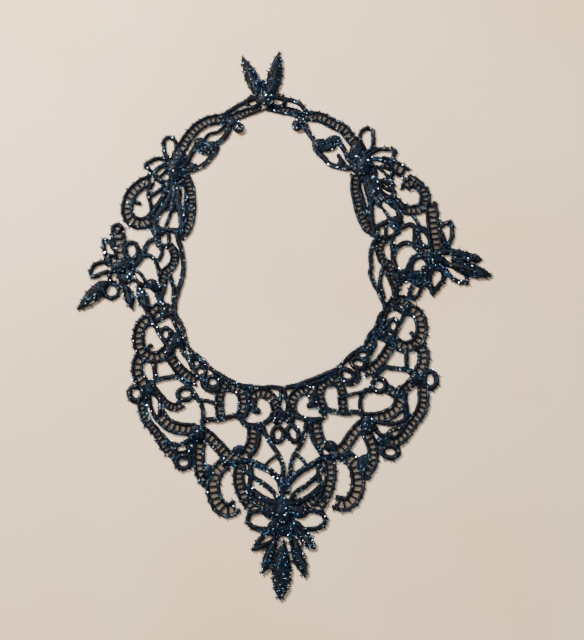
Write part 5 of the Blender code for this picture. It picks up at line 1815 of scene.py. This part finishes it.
# The left side panel, between the sprig and the neck edge.
SIDE = (
    Strand("link", Kind.CORD, 2.0,
        ((-83.8, 53.0), (-82.6, 47.5), (-81.3, 44), (-81.2, 40), (-82.8, 36.4))),
    Strand("inner scroll", Kind.TAPE, 5.4,
        ((-76.8, 46), (-73.4, 42), (-72.8, 36.5), (-75, 31.2), (-78.8, 28), (-80.2, 22),
         (-81, 16), (-84, 13.2))),
    Strand("neck", Kind.CORD, 2.6,
        ((-71.6, 53.5), (-70.3, 48.5), (-68.5, 44), (-67.3, 38), (-66.9, 32), (-67.3, 26),
         (-68.7, 20), (-70.5, 14), (-71.9, 8))),
    Strand("neck link one", Kind.CORD, 2.2, ((-76, 27), (-74, 21), (-72.8, 16), (-73.2, 9))),
    Strand("neck link two", Kind.CORD, 2.0, ((-78, 22), (-79.2, 16), (-80.6, 10), (-79, 6))),
    Strand("eyelet side", Kind.CORD, 1.8, ((-77.2, 54), (-76.6, 50), (-77, 46.5))),
    Strand("eyelet bar", Kind.CORD, 2.2, ((-84, 46), (-80, 45.3), (-76, 46.5))),
    Strand("foot", Kind.CORD, 2.6, ((-84, 14), (-82.4, 9.5), (-81, 6))),
)
SIDE_RIGHT = (
    Strand("stem side", Kind.CORD, 3.0,
        ((70.4, 46), (70.8, 40.5), (71, 35.5), (72.6, 31), (75, 28))),
)
SIDE_OVALS = (
    Oval("ball", Kind.PAD, -86, 19.2, 5.4, 3.8, -35, 0),
)

# The upper bib on the left: a scroll outside, a leaf slit and three eyes along the neck edge.
BIB_UPPER = (
    Strand("arch", Kind.TAPE, 6.0, ((-88, -1), (-85, 3.5), (-80, 5.2), (-75.5, 3.5), (-72, 4))),
    Strand("neck", Kind.CORD, 2.6,
        ((-72, 8), (-72, 1), (-69, -4.5), (-66.5, -9.5), (-65.3, -15), (-63.4, -21), (-60, -25),
         (-56, -27.5), (-52.3, -31), (-49, -34.5), (-44.5, -38), (-40, -40.6))),
    Strand("neck second", Kind.CORD, 2.0,
        ((-73.5, -2.5), (-71, -8), (-68.5, -13), (-67, -19), (-65.5, -24))),
    Strand("beaded line", Kind.CORD, 2.6,
        ((-89, 0), (-85.5, -5.5), (-82.5, -11), (-79, -16.5), (-76, -21.5), (-74.5, -25))),
    Strand("eye top bar", Kind.CORD, 3.0, ((-84.5, -5), (-79.5, -1.8), (-75, 0.5), (-72, 1))),
    Strand("ring link", Kind.CORD, 2.0, ((-74.5, -10.5), (-72.5, -12.8), (-70, -14))),
    Strand("scroll", Kind.TAPE, 7.5,
        ((-87, -3.6), (-91, -4.5), (-94, -8.5), (-95.2, -16), (-93.8, -22), (-90.2, -26.5),
         (-85.5, -28), (-80.5, -27), (-77, -24))),
    Strand("scroll nub", Kind.CORD, 2.4, ((-90.5, -22.5), (-87, -20.5))),
    Strand("outer tape", Kind.TAPE, 7.5,
        ((-93, -27), (-95.3, -33), (-94.8, -39), (-92, -44), (-89.8, -48))),
    Strand("stay", Kind.CORD, 2.5, ((-84.5, -30), (-84.3, -36), (-83.8, -41), (-85, -45))),
    Strand("cross", Kind.CORD, 2.6,
        ((-86, -43.8), (-80, -41.8), (-75, -41), (-70, -40.5), (-65, -43.8), (-62, -46.4))),
    Strand("leaf tape", Kind.TAPE, 6.5,
        ((-76, -25), (-71.7, -31.5), (-67, -37), (-62, -40.6), (-56.5, -43.5))),
    Strand("leaf band", Kind.CORD, 3.0,
        ((-66.5, -24), (-62.7, -29), (-60.5, -33), (-58.5, -37), (-57, -41))),
    Strand("cuff", Kind.CORD, 3.0, ((-53.5, -40), (-52.5, -46.5), (-48, -49.4), (-43, -48.5))),
)
BIB_UPPER_OVALS = (
    Oval("ring", Kind.RING, -77.6, -13.0, 3.0, 4.0, 0, 2.4),
    Oval("pad", Kind.PAD, -70.5, -17, 3.6, 5.5, 0, 0),
    Oval("fork pad", Kind.PAD, -74.5, -23, 3.8, 4.0, 0, 0),
    Oval("eye one", Kind.RING, -57.3, -31.8, 2.8, 2.8, 0, 2.2),
    Oval("eye two", Kind.RING, -54.6, -37.4, 3.3, 3.3, 0, 2.2),
    Oval("eye three", Kind.RING, -46.5, -44.0, 4.0, 3.6, 0, 2.6),
    Oval("leaf pad", Kind.PAD, -60.5, -28.3, 3.2, 2.8, 0, 0),
    Oval("corner pad", Kind.PAD, -79, 1.2, 3.2, 3.0, 0, 0),
)

# The outer bib on the left, with the oval, its drop, the crescent and two hanging rings.
BIB_OUTER = (
    Strand("oval side", Kind.CORD, 2.6, ((-62.6, -46.0), (-60.5, -48), (-57.5, -53))),
    Strand("oval lower", Kind.TAPE, 5.0,
        ((-84.5, -48.5), (-80.5, -53.5), (-76, -58), (-70.5, -60), (-66, -57.8))),
    Strand("divider", Kind.CORD, 1.8, ((-87.5, -51), (-86.8, -57), (-85.3, -62.5), (-82.5, -68))),
    Strand("inner side", Kind.CORD, 2.2, ((-80.5, -54), (-80, -60), (-80.5, -65))),
    Strand("ladder", Kind.TAPE, 7.6,
        ((-80.6, -64), (-77.3, -68.9), (-71.6, -72.5), (-64.8, -74), (-58, -74.2))),
    Strand("crescent", Kind.CORD, 2.4,
        ((-78.5, -77.5), (-73.5, -82.8), (-68, -84), (-63.0, -82), (-58, -79))),
    Strand("eyelet bar", Kind.CORD, 2.2, ((-69.5, -84.5), (-69.8, -87.5), (-69, -90))),
    Strand("edge", Kind.TAPE, 5.4,
        ((-91, -52), (-91.8, -58), (-90.8, -64), (-87.8, -70), (-83, -75), (-79.3, -81),
         (-75.8, -86.5), (-71, -90.2), (-65, -90.5), (-60, -89))),
)
BIB_OUTER_OVALS = (
    Oval("outer ring", Kind.RING, -95.7, -51.4, 4.4, 4.6, 0, 2.8),
    Oval("drop", Kind.RING, -64.0, -51.6, 5.0, 3.8, 10, 2.6),
    Oval("cross knot", Kind.PAD, -86.5, -48.5, 4.2, 4.4, 0, 0),
    Oval("hem ring", Kind.RING, -64.7, -94.8, 4.6, 4.2, 0, 2.6),
    Oval("knot", Kind.PAD, -56.5, -77, 5.2, 6.0, 0, 0),
    Oval("hem pad", Kind.PAD, -60, -86, 3.4, 4.2, 0, 0),
)

# The outer bib on the right has its own lie: one open side pocket and a wider ladder.
BIB_OUTER_RIGHT = (
    Strand("drop side", Kind.CORD, 2.6, ((57.6, -43.2), (55.4, -46.4), (54.6, -49.6))),
    Strand("oval lower", Kind.TAPE, 6.0,
        ((82, -43.6), (78, -47.4), (74, -50.4), (70, -50.6), (66.4, -48.6))),
    Strand("ladder", Kind.TAPE, 7.6,
        ((51, -67.4), (57, -67.2), (63, -66), (68.6, -63.4), (72.8, -59), (74.2, -53.5),
         (76, -48))),
    Strand("ladder rim", Kind.CORD, 2.2,
        ((79, -65.5), (74.5, -69.2), (69, -70.8), (63, -70.4), (58, -69.5))),
    Strand("inner side", Kind.CORD, 3.6, ((75.8, -51), (76.6, -57), (77.4, -62), (77.8, -66.5))),
    Strand("crescent", Kind.CORD, 2.2,
        ((57.2, -73), (60.5, -77.6), (64.5, -78), (67.5, -75.2), (72, -73.8), (77, -71.4))),
    Strand("eyelet bar", Kind.CORD, 2.4, ((67.2, -75.5), (66.8, -79.4))),
    Strand("edge", Kind.TAPE, 7.0,
        ((88.6, -45.5), (88.7, -51), (88.5, -57), (86.8, -62.8), (83, -68.2), (79.2, -73),
         (75.8, -78), (71.4, -81.6), (66, -82.4), (61.5, -80.4))),
)
BIB_OUTER_RIGHT_OVALS = (
    Oval("outer ring", Kind.RING, 93.3, -42.6, 4.0, 5.4, 0, 2.8),
    Oval("drop", Kind.RING, 60.4, -46.0, 4.4, 4.2, 0, 2.8),
    Oval("cross knot", Kind.PAD, 85, -41.8, 5.2, 4.6, 0, 0),
    Oval("hem ring", Kind.RING, 67.0, -88.4, 5.0, 3.8, 0, 2.8),
    Oval("knot", Kind.PAD, 53.4, -71.2, 5.0, 6.0, 0, 0),
    Oval("hem pad", Kind.PAD, 61.5, -81.5, 3.2, 3.6, 0, 0),
)

# The inner bib on the left, up to the middle line.
BIB_INNER = (
    Strand("neck", Kind.CORD, 2.6,
        ((-41, -40.0), (-34.5, -43.8), (-28, -46.3), (-22, -46.9), (-15, -47.8), (-8, -47.2),
         (-2.4, -48.3))),
    Strand("pocket foot", Kind.CORD, 1.8,
        ((-56.5, -54), (-54.0, -55.5), (-50, -56), (-45.5, -57.3), (-42, -58.5))),
    Strand("pocket side", Kind.CORD, 2.4,
        ((-56.6, -54.4), (-54.2, -58), (-52.8, -62), (-52.6, -68), (-53, -73))),
    Strand("roof", Kind.CORD, 2.8,
        ((-53, -69), (-48, -67.9), (-43.5, -68.3), (-38, -67.1), (-32.5, -65.5), (-28, -66.5))),
    Strand("ladder", Kind.TAPE, 5.6,
        ((-38, -44), (-40.8, -49), (-42.2, -54), (-42.2, -60), (-41.5, -66.5))),
    Strand("arch left", Kind.TAPE, 6.5,
        ((-37, -46.8), (-33.5, -47.4), (-29.5, -49), (-27.2, -53.5), (-27, -59), (-28, -65.5))),
    Strand("fork", Kind.CORD, 2.4, ((-23.8, -48), (-23.8, -57), (-24.5, -64), (-28, -67.5))),
    Strand("arch right", Kind.TAPE, 6.5,
        ((-21.7, -59), (-20.7, -53.5), (-16, -50.8), (-10, -53), (-6.3, -58), (-6.0, -64),
         (-8.5, -69))),
    Strand("arch nub", Kind.CORD, 3.4, ((-20.5, -57), (-20, -62), (-17.5, -62.5))),
    Strand("moon", Kind.CORD, 3.0,
        ((-28.5, -67), (-26, -70.6), (-20, -71.8), (-14, -70.5), (-8.8, -67.5))),
    Strand("tall ladder", Kind.TAPE, 7.0,
        ((-20.5, -72), (-20.7, -78), (-21.7, -84), (-25.5, -89.5))),
    Strand("slope", Kind.TAPE, 7.2,
        ((-52.4, -76.2), (-47.4, -79.8), (-42.6, -84.8), (-37.8, -89.8), (-32.6, -92.9))),
    Strand("heart edge", Kind.CORD, 2.4,
        ((-17, -72.5), (-16.6, -80), (-18.2, -86), (-22.5, -91.5))),
    Strand("axis line", Kind.CORD, 2.6,
        ((-14.5, -73), (-10.5, -81), (-6, -87.5), (-2.6, -94), (-1.4, -99.5), (-1.8, -105))),
    Strand("bar", Kind.CORD, 1.5, ((-5, -90.5), (-9.0, -93.2), (-12.5, -96.5))),
    Strand("centre stay", Kind.CORD, 2.0, ((-2.6, -48.5), (-3.2, -55), (-4.8, -60))),
)
# On the right the neck edge stands a little higher than the pattern turned over.
BIB_INNER_RIGHT = (
    Strand("neck edge", Kind.CORD, 2.2,
        ((2.2, -47.8), (10.1, -45), (15.3, -43.1), (24.5, -39.4), (30.5, -36.8), (35.6, -34.4))),
)
BIB_INNER_OVALS = (
    Oval("centre ring", Kind.RING, -3.9, -66.0, 2.6, 3.6, 0, 2.2),
    Oval("centre ring low", Kind.RING, -4.6, -77.4, 3.6, 4.8, 0, 2.4),
    Oval("fork pad", Kind.PAD, -29.5, -88, 4.6, 4.0, 20, 0),
)

# The lower bib on the left: the hanging lobe, its ladders and the crescents at the middle.
BIB_LOWER = (
    Strand("sweep", Kind.CORD, 3.6,
        ((-40, -94.6), (-33, -95.2), (-26, -94.2), (-20.5, -95), (-15, -97.5), (-10, -100),
         (-6, -103.5), (-3, -108), (-2.2, -113))),
    Strand("side ladder", Kind.TAPE, 7.0,
        ((-54, -81), (-54.8, -88), (-54.6, -96), (-53, -103), (-49.5, -108))),
    Strand("lobe", Kind.TAPE, 8.5,
        ((-38, -95.5), (-42.5, -99.5), (-45.2, -105), (-45.7, -111), (-44, -118),
         (-40.5, -123.2), (-35.8, -125), (-31, -122.5))),
    Strand("lobe inner", Kind.TAPE, 7.0,
        ((-28.5, -97), (-29.5, -104), (-28.5, -110), (-27.2, -114), (-24, -119), (-20, -124))),
    Strand("crescent", Kind.CORD, 2.6,
        ((-24.5, -101), (-17.5, -106), (-12, -109.5), (-7.5, -113.5), (-4.5, -118))),
    Strand("crescent low", Kind.CORD, 3.2,
        ((-21.5, -112), (-18.5, -114), (-13.5, -117.3), (-8.5, -119.5), (-4, -120.5))),
    Strand("lobe tail", Kind.TAPE, 5.5,
        ((-24, -116), (-17, -119.5), (-10.5, -122.5), (-6.5, -123.5))),
    Strand("lobe root", Kind.CORD, 3.0,
        ((-22, -97.5), (-21.6, -103), (-22.4, -109), (-23.5, -114))),
)
BIB_LOWER_OVALS = (
    Oval("lobe pad", Kind.PAD, -49, -101, 4.0, 5.0, 0, 0),
)

# The pendant, which carries one leaf on the middle line and two beside it.
PENDANT_BOTH = (
    Strand("side loop", Kind.CORD, 2.6,
        ((-9, -126), (-16, -125.4), (-22.0, -127.3), (-23.4, -131.8), (-20, -135.2),
         (-12.5, -136.6), (-7, -137))),
)
PENDANT_LEFT = (
    Strand("petal loop", Kind.CORD, 2.6,
        ((-6.5, -139), (-11.8, -139.6), (-16.2, -143.6), (-19.2, -148.6))),
    Strand("petal loop low", Kind.CORD, 2.6,
        ((-5.0, -142), (-10.5, -145.4), (-15, -147.4), (-19.2, -148.6))),
)
PENDANT_OVALS = (
    Oval("root", Kind.PAD, -9.2, -126, 5.0, 4.2, 20, 0),
    Oval("root low", Kind.PAD, -6.5, -135.5, 5.0, 4.6, 0, 0),
)
PENDANT_AXIS = (
    Oval("knot", Kind.PAD, -1.6, -122, 5.2, 5.5, 0, 0),
    Oval("heart", Kind.PAD, -1.0, -132, 7.0, 9.0, 0, 0),
)

# Where a place of the left half lies on the right half.
LANDMARKS = (
    Landmark("clasp ring", -22, 144, -5, 144.7),
    Landmark("strap end", -15.6, 141.3, -12.2, 141.3),
    Landmark("top edge", -31, 142.3, 7, 144.6),
    Landmark("strap waist", -41, 134.6, 15, 136.6),
    Landmark("ball", -31.5, 126.5, 7.8, 127.8),
    Landmark("strap hole", -47, 125.5, 24, 126),
    Landmark("leaf tape", -57, 128.2, 32.4, 129.0),
    Landmark("leaf tape bend", -62.3, 123.4, 38.9, 125.2),
    Landmark("leaf tape low", -66.2, 118, 42.4, 120.8),
    Landmark("bud", -49.3, 112.6, 22.5, 114.3),
    Landmark("band hole", -57.5, 105.5, 33.5, 108.4),
    Landmark("band edge", -55, 99.6, 30, 100),
    Landmark("band eyelet", -65.6, 99.4, 42, 101.5),
    Landmark("petal one", -77.6, 113.0, 54.5, 119.5),
    Landmark("petal one tip", -80.9, 119.3, 57.8, 126.0),
    Landmark("petal two", -86, 101.2, 66, 107.7),
    Landmark("petal two tip", -93.2, 100.4, 73.0, 110.3),
    Landmark("petal three", -81.5, 93.5, 67.3, 93.2),
    Landmark("shoulder knot", -74, 97, 52.0, 100),
    Landmark("hem top", -63.5, 86, 46, 88),
    Landmark("hem eyelet", -62.6, 73.4, 48, 75),
    Landmark("hem foot", -64, 60, 52.4, 60.6),
    Landmark("shoulder foot", -69.5, 51.6, 59.4, 54),
    Landmark("rib hole", -81, 63, 69.3, 71.5),
    Landmark("rib hole two", -73, 63, 61, 66.5),
    Landmark("rib one", -84.5, 82.3, 66.5, 84.5),
    Landmark("bud end", -86.5, 55.3, 76, 60.5),
    Landmark("stem hole", -87, 43.5, 78.5, 53),
    Landmark("large hole", -90.5, 31, 79.5, 38),
    Landmark("link foot", -82.8, 36.4, 71.6, 41.5),
    Landmark("scroll space", -78.5, 36, 67.2, 42),
    Landmark("scroll side", -72.8, 38, 62.0, 42),
    Landmark("inner ball", -86, 19.2, 75.4, 24.5),
    Landmark("foot hole", -87, 12, 78, 17),
    Landmark("neck hole", -76.6, 13.5, 65.2, 21.5),
    Landmark("neck slit", -71.4, 24.5, 59, 28),
    Landmark("neck high", -66.9, 33, 56.2, 34),
    Landmark("neck middle", -69.5, 17, 58.6, 18.5),
    Landmark("neck waist", -72.0, 5, 64.6, 5),
    Landmark("eye hole", -76, -6, 70, 0.5),
    Landmark("eye ring", -77.6, -13.0, 69.7, -7.6),
    Landmark("v hole", -84.5, -17.5, 79.3, -9.5),
    Landmark("v scroll", -95.2, -16, 88.5, -8),
    Landmark("slit", -66, -29, 60, -21.5),
    Landmark("neck elbow", -63.4, -21, 53.0, -17.5),
    Landmark("neck upper bib", -67.5, -7.5, 60.0, -5.5),
    Landmark("z hole", -88.5, -35.5, 82.5, -28.5),
    Landmark("y hole", -77.5, -36.5, 71.5, -31),
    Landmark("oval hole", -74, -48.5, 71.5, -41.5),
    Landmark("drop hole", -64.0, -51.6, 60, -45.3),
    Landmark("large pocket", -62, -63, 58.5, -57.5),
    Landmark("long hole", -51, -51, 46, -46.5),
    Landmark("low hole", -49, -61.5, 44, -56.5),
    Landmark("arch hole", -35.5, -58, 29, -54.5),
    Landmark("neck lobe", -47, -36.2, 38, -31.3),
    Landmark("yellow hole", -36, -76.5, 33.5, -73),
    Landmark("knot", -56, -77, 53, -71.5),
    Landmark("side ladder", -54.6, -96, 56, -88.5),
    Landmark("triangle hole", -46, -95, 46.5, -89.5),
    Landmark("lobe hole", -35.5, -110, 35, -106),
    Landmark("lobe foot", -36, -125, 37, -121.4),
    Landmark("lobe side", -45.7, -111, 46.2, -107.5),
    Landmark("moon hole", -18, -66.5, 16.5, -62.8),
    Landmark("long drop hole", -13, -87.5, 15, -86.8),
    Landmark("crescent hole", -12, -105.5, 11, -107.0),
    Landmark("axis top", -1.5, -50, -1.5, -50),
    Landmark("axis ring", -0.5, -69.6, -0.5, -69.6),
    Landmark("axis two", 1.0, -84, 1.0, -84),
    Landmark("axis three", 1.0, -99, 1.0, -99),
    Landmark("axis four", -0.5, -112, -0.5, -112),
    Landmark("pendant loop", -23.4, -131.8, 25.2, -131.6),
    Landmark("axis five", -0.8, -135, -0.8, -135),
)

# Short stays under the raised work: down the pendant's middle, beside its leaf, and between the
# two leaves at the clasp.
PENDANT_STAYS = (
    Strand("axis end", Kind.CORD, 2.8, ((-1.6, -103), (-1.5, -112), (-1.6, -121))),
    Strand("leaf stay left", Kind.CORD, 1.2, ((-4.4, -140.5), (-6.4, -149))),
    Strand("leaf stay right", Kind.CORD, 1.6, ((3.2, -139.5), (4.4, -148), (6.2, -157))),
)
CLASP_STAYS = (
    Strand("tuft", Kind.CORD, 2.4, ((-13.2, 143.5), (-13.6, 151), (-15.0, 158.6))),
    Strand("tuft side", Kind.CORD, 1.8, ((-12.8, 147), (-12.4, 152), (-12.6, 157))),
)

# Each lace piece: its name and the tables that it is made from. A piece gives way to those above
# it. LEFT is laid as written, MIRRORED is carried over to the right half.
PIECES = (
    ("pendant", ((Side.LEFT, PENDANT_BOTH, PENDANT_OVALS),
                 (Side.MIRRORED, PENDANT_BOTH, PENDANT_OVALS),
                 (Side.LEFT, PENDANT_LEFT, PENDANT_AXIS),
                 (Side.LEFT, PENDANT_STAYS, ()))),
    ("bib_inner_left", ((Side.LEFT, BIB_INNER, BIB_INNER_OVALS),)),
    ("bib_inner_right", ((Side.MIRRORED, BIB_INNER, BIB_INNER_OVALS),
                         (Side.LEFT, BIB_INNER_RIGHT, ()))),
    ("bib_lower_left", ((Side.LEFT, BIB_LOWER, BIB_LOWER_OVALS),)),
    ("bib_lower_right", ((Side.MIRRORED, BIB_LOWER, BIB_LOWER_OVALS),)),
    ("bib_outer_left", ((Side.LEFT, BIB_OUTER, BIB_OUTER_OVALS),)),
    ("bib_outer_right", ((Side.LEFT, BIB_OUTER_RIGHT, BIB_OUTER_RIGHT_OVALS),)),
    ("bib_upper_left", ((Side.LEFT, BIB_UPPER, BIB_UPPER_OVALS),)),
    ("bib_upper_right", ((Side.MIRRORED, BIB_UPPER, BIB_UPPER_OVALS),)),
    ("shoulder_left", ((Side.LEFT, SHOULDER, SHOULDER_OVALS),
                       (Side.LEFT, SCROLL_LEFT, SCROLL_LEFT_OVALS))),
    ("shoulder_right", ((Side.MIRRORED, SHOULDER, SHOULDER_OVALS),
                        (Side.LEFT, SCROLL_RIGHT, SCROLL_RIGHT_OVALS),
                        (Side.LEFT, (), SHOULDER_RIGHT_OVALS))),
    ("side_left", ((Side.LEFT, SIDE, SIDE_OVALS),)),
    ("side_right", ((Side.MIRRORED, SIDE, SIDE_OVALS), (Side.LEFT, SIDE_RIGHT, ()))),
    ("sprig_left", ((Side.LEFT, SPRIG_LEFT, SPRIG_LEFT_OVALS),)),
    ("sprig_right", ((Side.LEFT, SPRIG_RIGHT, SPRIG_RIGHT_OVALS),)),
    ("strap_left", ((Side.LEFT, STRAP, STRAP_OVALS),
                    (Side.LEFT, STRAP_LEFT, ()),
                    (Side.LEFT, CLASP_STAYS, ()))),
    ("strap_right", ((Side.MIRRORED, STRAP, STRAP_OVALS),
                     (Side.LEFT, STRAP_RIGHT, STRAP_RIGHT_OVALS))),
)

# Raised leaves. The widest place is a share of the way from the base to the tip.
LEAVES = (
    Leaf("clasp_leaf_left", -16.5, 147.3, -29.4, 176.6, 9.4, 0.42),
    Leaf("clasp_leaf_right", -9.8, 148.2, -4.3, 180.0, 10.2, 0.42),
    Leaf("sprig_leaf_left", -115.9, 22.0, -135.3, 2.9, 9.8, 0.40),
    Leaf("low_leaf_one_left", -104.6, 20.4, -99.7, 3.0, 6.8, 0.50),
    Leaf("low_leaf_two_left", -96.6, 19.8, -88.9, 1.2, 7.8, 0.50),
    Leaf("sprig_leaf_right", 105.0, 33.9, 135.3, 25.3, 9.2, 0.52),
    Leaf("pendant_leaf_centre", -0.8, -142.0, -3.0, -180.0, 12.4, 0.58),
    Leaf("pendant_leaf_left", -5.8, -141.6, -14.3, -164.2, 6.6, 0.55),
    Leaf("pendant_leaf_right", 5.2, -140.6, 12.7, -166.4, 7.4, 0.55),
    Leaf("pendant_leaf_upper", 7.4, -136.8, 18.9, -148.8, 7.6, 0.50),
)

# Wound knots that stand on the lace.
KNOTS = (
    Knot("clasp_knot", -13.2, 146.0, 5.2, 5.4, 0, 3.4, 4.9),
    Knot("strap_ball_left", -31.5, 126.5, 3.4, 3.4, 0, 1.8, 3.6),
    Knot("strap_ball_right", 7.8, 127.8, 3.4, 3.4, 0, 1.8, 3.6),
    Knot("shoulder_knot_left", -73.6, 96.5, 4.2, 7.6, 4, 1.8, 3.6),
    Knot("shoulder_knot_right", 52.4, 100.5, 4.2, 7.6, -18, 1.8, 3.6),
    Knot("sprig_knot_left", -107.4, 31.8, 7.0, 4.2, 12, 1.8, 3.6),
    Knot("sprig_knot_right", 96.8, 37.6, 7.0, 4.2, -14, 1.8, 3.6),
    Knot("side_ball_left", -86, 19.2, 4.8, 3.2, -35, 1.8, 3.4),
    Knot("bib_knot_left", -56.3, -76.6, 4.4, 5.2, 0, 1.8, 3.4),
    Knot("bib_knot_right", 53.2, -71.0, 4.4, 5.2, 0, 1.8, 3.4),
    Knot("pendant_knot", -1.5, -127.2, 4.6, 6.4, 0, 1.8, 3.8),
)


def report(pieces: list[bpy.types.Object]) -> None:
    """Log each piece's name and its number of triangles."""
    for piece in pieces:
        log.info("%s: %d triangles", piece.name,
                 sum(len(face.vertices) - 2 for face in piece.data.polygons))


def main() -> None:
    """Build the collar's looks, in the order in which its pieces give way to each other."""
    logging.basicConfig(level=logging.INFO, format="%(message)s")
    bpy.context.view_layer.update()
    studio = Studio(LIGHTS)
    box = Workbox(Turnover(LANDMARKS), np.random.default_rng(SEED), WOUND_CORD.material(),
                  WOUND_KNOT.material(), LEAF_THREAD.material(), SEED_BEADS.material(),
                  TAPE_NET_AND_SHADE.material(), studio.build_table())
    cover = Field()
    for leaf in LEAVES:
        cover.add_polygon(leaf.outline())
        report(leaf.build(box))
    for knot in KNOTS:
        report(knot.build(box))
    for name, parts in PIECES:
        report(LacePiece(name, parts, box).build(cover))
    report(Fringe(cover, box).build())
    report(Clasp(DARK_STEEL).build())
    studio.build()


if __name__ == "__main__":
    main()
